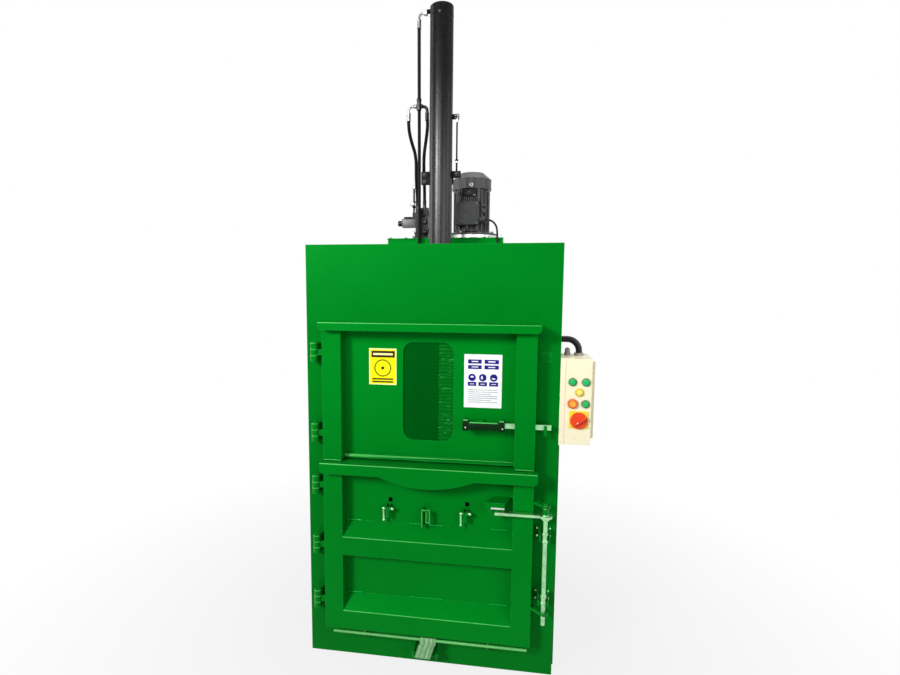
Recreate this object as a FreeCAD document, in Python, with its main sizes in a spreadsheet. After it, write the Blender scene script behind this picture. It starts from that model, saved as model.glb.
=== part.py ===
import FreeCAD, Part
import math
import os
from types import SimpleNamespace

import Sketcher
from FreeCAD import Rotation, Vector

# A vertical recycling baler. Millimetres, +Z up, X to the right, the front towards -Y.
# The origin is on the floor, on the axis of the press cylinder.

SIZES = (
    # frame and chamber
    ("front_depth", 320, "from the press axis forward to the face of the front plate"),
    ("plate_width", 1000, "front plate, edge to edge"),
    ("plate_height", 1710, "front plate, floor to top"),
    ("plate_thick", 6, "front plate"),
    ("mouth_width", 650, "both openings in the front plate"),
    ("mouth_round", 20, "their corners"),
    ("load_low", 870, "loading opening, lower edge"),
    ("load_high", 1370, "loading opening, upper edge"),
    ("bale_low", 165, "bale opening, lower edge"),
    ("bale_high", 795, "bale opening, upper edge"),
    ("chamber_half", 380, "half the inner width of the chamber"),
    ("chamber_depth", 634, "inner depth of the chamber"),
    ("wall_thick", 4, "side, back and deck sheets"),
    ("wall_rib_out", 76, "how far the rear channels stand out"),
    ("wall_rib_lap", 11, "how far the side channels reach behind the corner posts"),
    ("wall_rib_tall", 60, "height of a side channel"),
    ("wall_rib_low", 300, "lowest side channel"),
    ("wall_rib_step", 320, "from one side channel to the next"),
    ("wall_rib_count", 4, "side channels on each wall"),
    ("post_wide", 51, "corner posts behind the front plate"),
    ("post_deep", 50, "corner posts, front to back"),
    ("post_wall", 3, "folded sheet of the posts"),
    ("edge_strip", 6, "cover strip outside each corner post"),
    ("skid_height", 126, "base skids"),
    ("skid_width", 60, "base skids"),
    ("floor_thick", 12, "chamber floor plate"),
    ("groove_width", 30, "strap grooves in floor and platen"),
    ("groove_depth", 6, "strap grooves"),
    ("strap_left", -154, "left strap line"),
    ("strap_right", 156, "right strap line"),
    ("deck_top", 1608, "top face of the deck"),
    ("deck_thick", 8, "deck plate"),
    ("deck_back", 445, "rear edge of the deck from the press axis"),
    ("beam_tall", 90, "cross beams on the deck"),
    ("beam_gap", 100, "from the press axis to a cross beam"),
    ("beam_deep", 50, "cross beam"),
    # press
    ("barrel_round", 50, "outer radius of the cylinder"),
    ("bore_round", 42, "its bore"),
    ("barrel_top", 2690, "seam between barrel and cap"),
    ("cap_tall", 32, "cylinder cap"),
    ("gland_round", 80, "flange of the rod gland"),
    ("gland_tall", 32, "flange of the rod gland"),
    ("gland_nose", 46, "radius of the gland below the flange"),
    ("nose_tall", 48, "gland below the flange"),
    ("gland_bolts", 8, "bolts in the gland flange"),
    ("cap_port", 9, "radius of the port in the cap"),
    ("port_out", 14, "how far the port stands out"),
    ("rod_round", 22.5, "piston rod"),
    ("running_gap", 0.05, "radial clearance of the running fits"),
    ("free_gap", 0.3, "clearance between pieces that move past each other"),
    ("piston_tall", 80, "piston"),
    ("piston_drop", 143, "lower face of the raised piston below the top of the barrel"),
    ("platen_low", 1392, "underside of the raised platen"),
    ("platen_side", 10, "room between the platen and each side wall"),
    ("platen_clear", 24, "room between the platen and the front plate"),
    ("platen_thick", 12, "platen plate"),
    ("platen_rib", 64, "ribs on the platen"),
    ("platen_rib_thick", 10, "ribs on the platen"),
    ("hub_round", 48, "platen hub"),
    ("hub_tall", 76, "platen hub above the plate"),
    # hinges
    ("hinge_x", -457, "hinge line of both doors"),
    ("hinge_out", 35, "hinge line in front of the plate"),
    ("knuckle_round", 16, "knuckles"),
    ("knuckle_tall", 24, "one knuckle"),
    ("knuckle_gap", 1, "between knuckles"),
    ("pin_round", 8, "hinge pins"),
    ("pin_head", 11, "head of a hinge pin"),
    ("leaf_thick", 10, "leaf from a middle knuckle to the door post"),
    ("knuckle_web", 24, "web from a knuckle to the plate"),
    ("hinge_a", 1286, "hinge heights from the top"),
    ("hinge_b", 961, "second hinge"),
    ("hinge_c", 745, "third hinge"),
    ("hinge_d", 492, "fourth hinge"),
    ("hinge_e", 256, "lowest hinge"),
    # doors
    ("door_gap", 5, "from the front plate to the back of a door sheet"),
    ("door_thick", 5, "door sheets"),
    ("door_left", -418, "left edge of the doors"),
    ("door_right", 409, "right edge of the doors"),
    ("tube_wide", 76, "door posts"),
    ("tube_deep", 50, "door posts, front to back"),
    ("tube_wall", 3, "folded sheet of posts and rails"),
    ("rail_deep", 85, "overhanging rails, front to back"),
    ("rail_left", -423, "left end of the overhanging rails"),
    ("rail_right", 422, "right end of the overhanging rails"),
    ("rail_round", 20, "lower corners of the overhanging rails"),
    ("load_door_low", 857, "loading door, lower end of its posts"),
    ("head_low", 1378, "head rail, lower edge"),
    ("head_high", 1408, "head rail, upper edge"),
    ("sill_back", 876, "drip sill at the sheet"),
    ("sill_front", 863, "drip sill, front edge"),
    ("sill_out", 15, "how far the drip sill stands out"),
    ("sill_thick", 3, "drip sill"),
    ("window_left", -103, "window"),
    ("window_right", 96, "window"),
    ("window_low", 941, "window"),
    ("window_high", 1331, "window"),
    ("window_round", 42, "window corners"),
    ("pane_lap", 18, "pane behind the sheet, around the window"),
    ("pane_thick", 4, "tinted pane"),
    ("comb_left", 35, "ribbed strip behind the window"),
    ("comb_right", 114, "ribbed strip behind the window"),
    ("comb_high", 1349, "ribbed strip, upper end"),
    ("comb_low", 925, "ribbed strip, lower end"),
    ("comb_pitch", 14, "ribs"),
    ("comb_count", 30, "ribs"),
    ("comb_rib", 5, "rib height"),
    # loading door latch
    ("latch_left", 140, "latch bar"),
    ("latch_right", 469, "latch bar"),
    ("latch_low", 1009, "latch bar"),
    ("latch_high", 1029, "latch bar"),
    ("latch_thick", 8, "latch bar"),
    ("latch_out", 34, "front face of the latch bar, from the plate"),
    ("latch_slot", 0.3, "clearance of the latch bar in its slots"),
    ("finger_x", 442, "finger on the latch bar"),
    ("finger_wide", 11, "finger on the latch bar"),
    ("finger_low", 988, "finger on the latch bar"),
    ("finger_high", 1026, "finger on the latch bar"),
    ("finger_thick", 6, "finger on the latch bar"),
    ("guide_x", 200, "guide of the latch bar on the sheet"),
    ("guide_wide", 30, "guide of the latch bar"),
    ("handle_left", 137, "bridge handle"),
    ("handle_right", 296, "bridge handle"),
    ("handle_low", 1005, "bridge handle"),
    ("handle_high", 1044, "bridge handle"),
    ("handle_foot", 24, "foot of the bridge handle"),
    ("handle_stand", 26, "grip behind its front face to the bar"),
    ("handle_grip", 18, "thickness of the grip"),
    # bale door
    ("bale_door_low", 148, "bale door, lower edge"),
    ("mid_low", 811, "top rail of the bale door, lower edge"),
    ("mid_high", 853, "top rail of the bale door, upper edge"),
    ("skirt_half", 185, "half the length of the curved skirt"),
    ("skirt_drop", 38, "depth of the curved skirt"),
    ("rail_low", 464, "middle rail, lower edge"),
    ("rail_high", 540, "middle rail, upper edge"),
    ("foot_high", 226, "bottom rail, upper edge"),
    ("slope_high", 593, "upper sloped sheet at the door sheet"),
    ("slope_foot", 281, "lower sloped sheet at the door sheet"),
    ("slope_thick", 3, "sloped sheets"),
    ("slot_wide", 17, "strap slots in the door sheet"),
    ("slot_tall", 18, "strap slots"),
    ("slot_low", 680, "strap slots, lower edge"),
    # lock of the bale door
    ("lock_x", 453, "lock rod"),
    ("lock_out", 80, "lock rod in front of the plate"),
    ("lock_round", 8.5, "lock rod"),
    ("lock_low", 262, "lock rod, lower end"),
    ("lock_high", 742, "lock rod, upper end"),
    ("lever_low", 688, "lock lever"),
    ("lever_thick", 10, "lock lever"),
    ("lever_left", 264, "free end of the lock lever"),
    ("lever_wide", 24, "width of the lock lever"),
    ("eye_round", 25, "eye of the lock lever"),
    ("lug_thick", 8, "lugs that carry the lock rod"),
    ("ear_low", 728, "upper lug"),
    ("tongue_low", 304, "lower lug"),
    ("lug_round", 19, "rounded end of the lugs"),
    ("lug_root", 30, "width of the lugs at the door post"),
    ("catch_low", 722, "catch plate beside the upper lug"),
    ("catch_left", 227, "catch plate, left end of its front edge"),
    ("catch_right", 301, "catch plate, right end of its front edge"),
    ("catch_out", 66, "catch plate, in front of the door sheet"),
    ("catch_lip", 48, "depth of the hooked lip under the catch plate"),
    ("tab_low", 691, "locking tab behind the lever"),
    ("tab_tall", 12, "locking tab"),
    ("sleeve_round", 12, "sleeves on the lock rod"),
    ("sleeve_tall", 36, "sleeves on the lock rod"),
    ("sleeve_high", 592, "upper sleeve, lower end"),
    ("sleeve_low", 347, "lower sleeve, lower end"),
    ("saddle_high", 575, "upper saddle, lower edge"),
    ("saddle_low", 319, "lower saddle, lower edge"),
    ("saddle_tall", 48, "saddles"),
    ("saddle_wide", 58, "saddle base"),
    ("saddle_plate", 5, "saddle sheet"),
    ("saddle_inside", 15, "half the space between the saddle cheeks"),
    ("saddle_out", 86, "saddle cheeks, from the plate"),
    ("bolt_round", 4, "small bolts"),
    ("bolt_tall", 4, "small bolt heads"),
    # strap brakes
    ("brake_z", 661, "pivot of the strap brakes"),
    ("brake_out", 34, "pivot in front of the plate"),
    ("brake_pin", 5, "brake pivot"),
    ("brake_cheek", 3.5, "brake cheeks"),
    ("brake_inside", 6, "half the space between the cheeks"),
    ("brake_ball", 7.5, "ball ends of the brake pivot"),
    ("brake_shift", -6, "from a strap line to the middle of its brake"),
    ("brake_arm", 48, "arm of the brake lever"),
    ("brake_arm_round", 4.5, "arm of the brake lever"),
    ("hook_left", -21, "strap hook"),
    ("hook_right", 10, "strap hook"),
    ("hook_low", 596, "strap hook"),
    ("hook_high", 669, "strap hook"),
    ("hook_out", 34, "strap hook"),
    # strap rail at the floor
    ("bar_left", -383, "round bar at the foot of the plate"),
    ("bar_right", 398, "round bar"),
    ("bar_z", 133, "round bar"),
    ("bar_out", 58, "round bar in front of the plate"),
    ("bar_round", 5, "round bar"),
    ("gusset_left", -256, "gussets that carry the bar"),
    ("gusset_right", 246, "gussets that carry the bar"),
    ("gusset_tall", 56, "gussets"),
    ("gusset_thick", 6, "gussets"),
    ("belt_wide", 64, "ejector strap"),
    ("belt_thick", 4, "ejector strap"),
    ("belt_lean", 22, "sideways lean of the ejector strap"),
    ("belt_left", -24, "ejector strap at the bar"),
    ("roller_z", 62, "roller in the strap bracket"),
    ("roller_out", 44, "roller in front of the plate"),
    ("roller_round", 6, "roller in the strap bracket"),
    ("cheek_left", -54, "strap bracket, left cheek"),
    ("cheek_right", 44, "strap bracket, right cheek"),
    ("cheek_thick", 6, "strap bracket cheeks"),
    ("cheek_foot", 52, "height of the strap bracket at the plate"),
    ("cheek_nose", 14, "radius of its rounded front"),
    # power unit
    ("tank_left", -273, "oil tank"),
    ("tank_right", 270, "oil tank"),
    ("tank_front", 180, "oil tank, front face from the press axis"),
    ("tank_deep", 260, "oil tank, front to back"),
    ("tank_wall", 3, "oil tank"),
    ("lid_low", 1770, "tank lid"),
    ("lid_thick", 6, "tank lid"),
    ("lid_lap", 4, "tank lid beyond the tank"),
    ("motor_x", 117, "motor axis"),
    ("motor_y", 300, "motor axis"),
    ("flange_round", 127, "motor flange"),
    ("flange_tall", 28, "motor flange above the lid"),
    ("body_round", 78, "motor body under its fins"),
    ("fin_round", 88, "motor fins"),
    ("fin_count", 20, "motor fins"),
    ("fin_thick", 4, "motor fins"),
    ("body_low", 1812, "motor fins, lower end"),
    ("body_high", 2010, "motor body, upper end"),
    ("cowl_round", 94, "fan cowl"),
    ("cowl_top", 2089, "fan cowl"),
    ("cowl_cut", 30, "bevel of the fan cowl, downwards"),
    ("cowl_flat", 60, "flat top of the fan cowl"),
    ("cowl_wall", 3, "fan cowl"),
    ("shaft_round", 14, "motor shaft"),
    ("fan_round", 76, "cooling fan"),
    ("fan_blades", 8, "cooling fan"),
    ("fan_low", 2024, "cooling fan"),
    ("fan_tall", 26, "cooling fan"),
    ("tbox_left", 50, "terminal box"),
    ("tbox_right", 157, "terminal box"),
    ("tbox_low", 1834, "terminal box"),
    ("tbox_high", 1940, "terminal box"),
    ("tbox_out", 132, "terminal box front, from the motor axis"),
    ("tbox_deep", 44, "terminal box"),
    ("tbox_gland", 26, "cable gland above the foot of the terminal box"),
    ("pump_round", 44, "oil pump"),
    ("pump_low", 1650, "oil pump"),
    ("block_left", -150, "valve block"),
    ("block_right", -80, "valve block"),
    ("block_high", 1919, "valve block"),
    ("block_front", 190, "valve block"),
    ("block_deep", 60, "valve block"),
    ("coil_low", 1830, "solenoid"),
    ("coil_high", 1870, "solenoid"),
    ("coil_long", 67, "solenoid"),
    ("coil_deep", 44, "solenoid"),
    ("coil_knob", 13, "radius of the knob of the solenoid"),
    ("spindle_high", 95, "adjusting spindle above the valve block"),
    ("hose_round", 7.5, "hydraulic hoses"),
    ("ferrule_round", 9.5, "hose ferrules"),
    ("collar_low", 1992, "collar round the barrel"),
    ("collar_tall", 54, "collar"),
    ("collar_wall", 6, "collar"),
    ("collar_arm", 30, "arms of the collar"),
    ("arm_deep", 20, "arms of the collar"),
    ("stay_out", 18, "stay rod beside the barrel"),
    ("stay_round", 3.5, "stay rod"),
    ("stay_tall", 229, "stay rod above the collar"),
    ("elbow_bend", 18, "bend of the swivel elbows"),
    ("elbow_round", 5, "tube of the swivel elbows"),
    ("ferrule_tall", 36, "hose ferrules"),
    ("tee_rise", 433, "tee of the pressure line above the valve block"),
    ("tee_wide", 26, "tee"),
    ("tee_tall", 52, "tee"),
    ("cable_round", 4.5, "motor cable"),
    # control box
    ("box_wide", 116.8, "control box, beside the edge of the front plate"),
    ("box_low", 949, "control box"),
    ("box_high", 1280, "control box"),
    ("box_deep", 160, "control box"),
    ("box_wall", 2, "control box sheet"),
    ("box_flange", 11, "flange at the right of the control box"),
    ("button_round", 11, "push button caps"),
    ("bezel_round", 15.8, "push button bezels"),
    ("button_out", 12, "push button caps, out of the lid"),
    ("upper_row", 1191.4, "upper row of buttons"),
    ("lower_row", 1108.5, "lower row of buttons"),
    ("left_column", 45, "left buttons, from the left side of the box"),
    ("right_column", 94.5, "right buttons"),
    ("lamp_x", 71.2, "signal lamp"),
    ("lamp_z", 1151.8, "signal lamp"),
    ("stop_round", 19, "stop button"),
    ("knob_x", 72.2, "isolator knob"),
    ("knob_z", 1043.9, "isolator knob"),
    ("knob_round", 32, "isolator knob"),
    ("conduit_round", 13, "corrugated conduit"),
    ("conduit_x", 79, "conduit, from the left side of the box"),
    ("conduit_y", -210, "conduit on the box"),
    ("conduit_turn", 46, "bend of the conduit"),
    ("conduit_foot", 17, "straight foot of the conduit"),
    ("conduit_pitch", 6.5, "from one rib of the conduit to the next"),
    ("conduit_ribs", 22, "ribs of the conduit"),
    ("bezel_out", 5, "bezels in front of the lid"),
    ("switch_wide", 70, "plate of the isolator"),
    ("switch_tall", 66, "plate of the isolator"),
    ("switch_thick", 3, "plate of the isolator"),
    ("grip_long", 56, "grip across the isolator knob"),
    ("grip_wide", 12, "grip across the isolator knob"),
    ("grip_turn", 35, "degrees that the grip leans"),
)


class Length:
    """A size: the number that it has now, and the expression that binds a property to the sheet."""

    def __init__(self, text, value):
        self.text = text
        self.value = value

    @staticmethod
    def of(item):
        if isinstance(item, Length):
            return item
        return Length(f"({float(item)})", float(item))

    def joined(self, sign, other, value):
        return Length(f"({self.text} {sign} {other.text})", value)

    def __add__(self, other):
        other = Length.of(other)
        return self.joined("+", other, self.value + other.value)

    def __sub__(self, other):
        other = Length.of(other)
        return self.joined("-", other, self.value - other.value)

    def __mul__(self, other):
        other = Length.of(other)
        return self.joined("*", other, self.value * other.value)

    def __truediv__(self, other):
        other = Length.of(other)
        return self.joined("/", other, self.value / other.value)

    def __radd__(self, other):
        return Length.of(other) + self

    def __rsub__(self, other):
        return Length.of(other) - self

    def __rmul__(self, other):
        return Length.of(other) * self

    def __neg__(self):
        return Length.of(0) - self


doc = FreeCAD.newDocument("Baler")
sheet = doc.addObject("Spreadsheet::Sheet", "Sizes")
for line, (name, number, meaning) in enumerate(SIZES, 1):
    sheet.set(f"A{line}", meaning)
    sheet.set(f"B{line}", str(number))
    sheet.setAlias(f"B{line}", name)
doc.recompute()
d = SimpleNamespace(**{name: Length("Sizes." + name, float(number)) for name, number, meaning in SIZES})

front = -d.front_depth              # face of the front plate
plate_back = front + d.plate_thick
chamber_back = plate_back + d.chamber_depth
door_back = front - d.door_gap      # back of the door sheets
door_face = door_back - d.door_thick
tube_face = door_face - d.tube_deep
rail_face = door_face - d.rail_deep
nodes = {}


# ---- building with primitives -------------------------------------------------------------

TURNS = {"x": Rotation(Vector(0, 1, 0), 90), "y": Rotation(Vector(1, 0, 0), -90), "z": Rotation()}


def bind(thing, prop, amount):
    thing.setExpression(prop, Length.of(amount).text)


def move(thing, x, y, z):
    for letter, amount in zip("xyz", (x, y, z)):
        bind(thing, f"Placement.Base.{letter}", amount)


def block(x, y, z, label="Block"):
    """A box between two corners: x, y and z are (low, high) pairs."""
    thing = doc.addObject("Part::Box", label)
    for prop, (low, high) in zip(("Length", "Width", "Height"), (x, y, z)):
        bind(thing, prop, Length.of(high) - low)
    move(thing, x[0], y[0], z[0])
    return thing


def rod(axis, centre, radius, span, label="Rod"):
    """A cylinder along an axis: centre holds the two other coordinates, in the order x, y, z."""
    thing = doc.addObject("Part::Cylinder", label)
    thing.Placement.Rotation = TURNS[axis]
    bind(thing, "Radius", radius)
    bind(thing, "Height", Length.of(span[1]) - span[0])
    place = list(centre)
    place.insert("xyz".index(axis), span[0])
    move(thing, *place)
    return thing


def ball(x, y, z, radius):
    thing = doc.addObject("Part::Sphere", "Ball")
    bind(thing, "Radius", radius)
    move(thing, x, y, z)
    return thing


def fused(*parts, label="Fused"):
    thing = doc.addObject("Part::MultiFuse", label)
    thing.Shapes = list(parts)
    thing.Refine = True
    return thing


def cut(base, *tools, label="Cut"):
    thing = doc.addObject("Part::Cut", label)
    thing.Base = base
    thing.Tool = tools[0] if len(tools) == 1 else fused(*tools)
    return thing


def group(*parts, label="Group"):
    """Separate solids that share one node."""
    thing = doc.addObject("Part::Compound", label)
    thing.Links = list(parts)
    return thing


def node(name, thing):
    thing.Label = name
    nodes[name] = thing
    return thing


# ---- building with sketches ---------------------------------------------------------------

def draw_ring(sketch, a, b, radius):
    line = sketch.addGeometry(Part.Circle(Vector(a.value, b.value, 0), Vector(0, 0, 1), radius.value))
    for kind, amount in (("DistanceX", a), ("DistanceY", b)):
        which = sketch.addConstraint(Sketcher.Constraint(kind, line, 3, amount.value))
        bind(sketch, f"Constraints[{which}]", amount)
    which = sketch.addConstraint(Sketcher.Constraint("Radius", line, radius.value))
    bind(sketch, f"Constraints[{which}]", radius)


def draw_outline(sketch, corners):
    """A closed outline: a corner is (a, b), and one written (a, b, "arc") is the middle of an arc."""
    count = len(corners)
    places = [(Length.of(corner[0]), Length.of(corner[1])) for corner in corners]
    through = [len(corner) > 2 for corner in corners]
    points = [Vector(a.value, b.value, 0) for a, b in places]
    first = sketch.GeometryCount
    ends = [index for index in range(count) if not through[index]]
    for step, index in enumerate(ends):
        following = ends[(step + 1) % len(ends)]
        middle = (index + 1) % count
        if through[middle]:
            sketch.addGeometry(Part.Arc(points[index], points[middle], points[following]))
        else:
            sketch.addGeometry(Part.LineSegment(points[index], points[following]))
    for step, index in enumerate(ends):
        edge = first + step
        following = ends[(step + 1) % len(ends)]
        curve = sketch.Geometry[edge]
        is_arc = through[(index + 1) % count]
        start = points[index]
        starts_first = (curve.StartPoint - start).Length < 1e-6
        corner_end = (1 if starts_first else 2)
        far_end = 3 - corner_end
        for kind, amount in zip(("DistanceX", "DistanceY"), places[index]):
            which = sketch.addConstraint(Sketcher.Constraint(kind, edge, corner_end, amount.value))
            bind(sketch, f"Constraints[{which}]", amount)
        if is_arc:
            chord = points[following] - start
            axis = 0 if abs(chord.x) < abs(chord.y) else 1
            halfway = (places[index][axis] + places[following][axis]) / 2
            centre = halfway + (curve.Center[axis] - halfway.value)
            kind = ("DistanceX", "DistanceY")[axis]
            which = sketch.addConstraint(Sketcher.Constraint(kind, edge, 3, centre.value))
            bind(sketch, f"Constraints[{which}]", centre)
        after = first + (step + 1) % len(ends)
        next_curve = sketch.Geometry[after]
        next_start = 1 if (next_curve.StartPoint - points[following]).Length < 1e-6 else 2
        if len(ends) > 1:
            sketch.addConstraint(Sketcher.Constraint("Coincident", edge, far_end, after, next_start))


class Piece:
    """One piece made from sketches on the origin planes of its own body."""

    def __init__(self, label):
        self.body = doc.addObject("PartDesign::Body", label)

    def sketch(self, plane, level, outlines):
        sketch = self.body.newObject("Sketcher::SketchObject", "Outline")
        origin = [item for item in self.body.Origin.OriginFeatures if item.Role == plane + "_Plane"]
        sketch.AttachmentSupport = [(origin[0], "")]
        sketch.MapMode = "FlatFace"
        level = Length.of(level)
        bind(sketch, "AttachmentOffset.Base.z", -level if plane == "XZ" else level)
        for outline in outlines:
            if isinstance(outline[0], tuple):
                draw_outline(sketch, outline)
            else:
                draw_ring(sketch, *[Length.of(item) for item in outline])
        return sketch

    def pad(self, plane, span, *outlines):
        """Material along the plane's axis from span[0] to span[1]."""
        sketch = self.sketch(plane, span[1] if plane == "XZ" else span[0], outlines)
        feature = self.body.newObject("PartDesign::Pad", "Pad")
        feature.Profile = sketch
        bind(feature, "Length", Length.of(span[1]) - span[0])
        return feature

    def cut(self, plane, span, *outlines):
        sketch = self.sketch(plane, span[1] if plane == "XZ" else span[0], outlines)
        feature = self.body.newObject("PartDesign::Pocket", "Pocket")
        feature.Profile = sketch
        feature.Reversed = True
        bind(feature, "Length", Length.of(span[1]) - span[0])
        return feature

    def turn(self, *outline):
        """A revolved outline of (radius, height) corners about the body's own Z axis."""
        sketch = self.sketch("XZ", 0, [list(outline)])
        feature = self.body.newObject("PartDesign::Revolution", "Revolution")
        feature.Profile = sketch
        feature.ReferenceAxis = (sketch, ["V_Axis"])
        feature.Angle = 360
        return feature

    def row(self, feature, direction, count, step):
        """Equal copies of a feature along a sketch axis."""
        pattern = self.body.newObject("PartDesign::LinearPattern", "Row")
        pattern.Originals = [feature]
        pattern.Direction = (feature.Profile[0], [direction])
        bind(pattern, "Occurrences", count)
        bind(pattern, "Length", (Length.of(count) - 1) * step)
        self.body.Tip = pattern
        return pattern

    def ring(self, feature, count):
        """Equal copies of a feature about the body's own Z axis."""
        axis = [item for item in self.body.Origin.OriginFeatures if item.Role == "Z_Axis"]
        pattern = self.body.newObject("PartDesign::PolarPattern", "Ring")
        pattern.Originals = [feature]
        pattern.Axis = (axis[0], [""])
        pattern.Angle = 360
        bind(pattern, "Occurrences", count)
        self.body.Tip = pattern
        return pattern

    def round(self, plane, radius, *places):
        """Rounds the edges that stand on the plane at the given places."""
        doc.recompute()
        base = self.body.Tip
        first, second = {"XY": (0, 1), "XZ": (0, 2), "YZ": (1, 2)}[plane]
        names = []
        for number, edge in enumerate(base.Shape.Edges, 1):
            ends = [vertex.Point for vertex in edge.Vertexes]
            if len(ends) < 2:
                continue
            for a, b in places:
                spot = (Length.of(a).value, Length.of(b).value)
                if all(abs(end[first] - spot[0]) + abs(end[second] - spot[1]) < 0.01 for end in ends):
                    names.append(f"Edge{number}")
        feature = self.body.newObject("PartDesign::Fillet", "Fillet")
        feature.Base = (base, names)
        bind(feature, "Radius", radius)
        return feature

    def place(self, x, y, z, turn=None):
        if turn is not None:
            self.body.Placement.Rotation = turn
        move(self.body, x, y, z)
        return self.body


def rectangle(a, b):
    return [(a[0], b[0]), (a[1], b[0]), (a[1], b[1]), (a[0], b[1])]


def corners(a, b):
    return tuple(rectangle(a, b))


def tube(piece, plane, a, b, span, wall):
    """A folded rectangular tube: outer sizes a and b, along the span."""
    inner = rectangle((a[0] + wall, a[1] - wall), (b[0] + wall, b[1] - wall))
    return piece.pad(plane, span, rectangle(a, b), inner)


# ---- frame --------------------------------------------------------------------------------

mouth = (-d.mouth_width / 2, d.mouth_width / 2)
load_mouth = (d.load_low, d.load_high)
bale_mouth = (d.bale_low, d.bale_high)
post_outer = d.plate_width / 2
box_left = post_outer
post_inner = post_outer - d.post_wide
post_back = plate_back + d.post_deep
wall_outer = d.chamber_half + d.wall_thick
left_column = box_left + d.left_column
right_column = box_left + d.right_column
stop_column = left_column + 2.5
lamp_x = box_left + d.lamp_x
knob_x = box_left + d.knob_x
conduit_x = box_left + d.conduit_x
deck_low = d.deck_top - d.deck_thick


def front_plate():
    piece = Piece("front_plate")
    piece.pad("XZ", (front, plate_back),
              rectangle((-d.plate_width / 2, d.plate_width / 2), (0, d.plate_height)),
              rectangle(mouth, bale_mouth), rectangle(mouth, load_mouth))
    piece.round("XZ", d.mouth_round, *corners(mouth, bale_mouth), *corners(mouth, load_mouth))
    return piece.body


def side_wall(label, side):
    """A chamber wall, its channels, and the corner post behind the edge of the front plate."""
    def across(low, high):
        return (low, high) if side > 0 else (-high, -low)

    piece = Piece(label)
    piece.pad("YZ", across(d.chamber_half, wall_outer),
              rectangle((plate_back, chamber_back), (d.skid_height, deck_low)))
    rib = (wall_outer, post_inner + d.wall_rib_lap)
    tall = (d.wall_rib_low, d.wall_rib_low + d.wall_rib_tall)
    hollow = (rib[0], rib[1] - d.post_wall)
    channel = piece.pad("XZ", (post_back, chamber_back),
                        rectangle(across(*rib), tall),
                        rectangle(across(hollow[0] + d.post_wall, hollow[1]),
                                  (tall[0] + d.post_wall, tall[1] - d.post_wall)))
    piece.row(channel, "V_Axis", d.wall_rib_count, d.wall_rib_step)
    tube(piece, "XY", across(post_inner, post_outer), (plate_back, post_back),
         (d.skid_height / 4, deck_low), d.post_wall)
    piece.pad("XY", (d.skid_height / 4, d.box_low - 16),
              rectangle(across(post_outer, post_outer + d.edge_strip), (plate_back + 14, post_back - 6)))
    return piece.body


def back_wall():
    piece = Piece("back_wall")
    piece.pad("XZ", (chamber_back, chamber_back + d.wall_thick),
              rectangle((-wall_outer, wall_outer), (d.skid_height, deck_low)))
    rear = chamber_back + d.wall_thick
    for middle in (-d.chamber_half * 0.6, d.chamber_half * 0.6):
        half = d.wall_rib_tall / 2
        tube(piece, "XY", (middle - half, middle + half), (rear, rear + d.wall_rib_out),
             (d.skid_height, deck_low), d.post_wall)
    return piece.body


def strap_grooves(piece, plate_face, span):
    for strap in (d.strap_left, d.strap_right):
        half = d.groove_width / 2
        piece.cut("XZ", span, rectangle((strap - half, strap + half), plate_face))


def chamber_floor():
    piece = Piece("chamber_floor")
    top = d.skid_height + d.floor_thick
    piece.pad("XZ", (plate_back, chamber_back),
              rectangle((-d.chamber_half, d.chamber_half), (d.skid_height, top)))
    strap_grooves(piece, (top - d.groove_depth, top), (plate_back, chamber_back))
    return piece.body


def base_skids():
    skids = []
    outer = d.chamber_half
    for middle in (-outer, Length.of(0), outer):
        piece = Piece("Skid")
        half = d.skid_width / 2
        tube(piece, "XZ", (middle - half, middle + half), (0, d.skid_height),
             (plate_back, chamber_back + d.wall_thick), d.wall_thick)
        skids.append(piece.body)
    return group(*skids)


def top_deck():
    piece = Piece("top_deck")
    piece.pad("XY", (deck_low, d.deck_top),
              rectangle((-wall_outer, wall_outer), (plate_back, d.deck_back)),
              (0, 0, d.gland_nose + 2))
    rise = (d.deck_top, d.deck_top + d.beam_tall)
    for near in (-d.beam_gap - d.beam_deep, d.beam_gap):
        piece.pad("YZ", (-wall_outer, wall_outer),
                  rectangle((near, near + d.beam_deep), rise),
                  rectangle((near + d.post_wall, near + d.beam_deep - d.post_wall),
                            (rise[0] + d.post_wall, rise[1] - d.post_wall)))
    return piece.body


# ---- press --------------------------------------------------------------------------------

gland_top = d.deck_top + d.gland_tall
platen_top = d.platen_low + d.platen_thick
hub_top = platen_top + d.hub_tall
rod_hole = d.rod_round + d.running_gap


def cylinder_barrel():
    outer = rod("z", (0, 0), d.barrel_round, (gland_top, d.barrel_top))
    bore = rod("z", (0, 0), d.bore_round, (gland_top, d.barrel_top))
    return cut(outer, bore)


def cylinder_cap():
    cap = rod("z", (0, 0), d.barrel_round, (d.barrel_top, d.barrel_top + d.cap_tall))
    chamfered = doc.addObject("Part::Chamfer", "Chamfer")
    doc.recompute()
    chamfered.Base = cap
    top = [number for number, edge in enumerate(cap.Shape.Edges, 1)
           if edge.BoundBox.ZMin > d.barrel_top.value + 1 and edge.Closed]
    chamfered.Edges = [(number, 3.0, 3.0) for number in top]
    port = rod("x", (0, d.barrel_top + d.cap_tall / 2), d.cap_port,
               (-d.barrel_round - d.port_out, -d.barrel_round + 6))
    return fused(chamfered, port)


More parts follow.
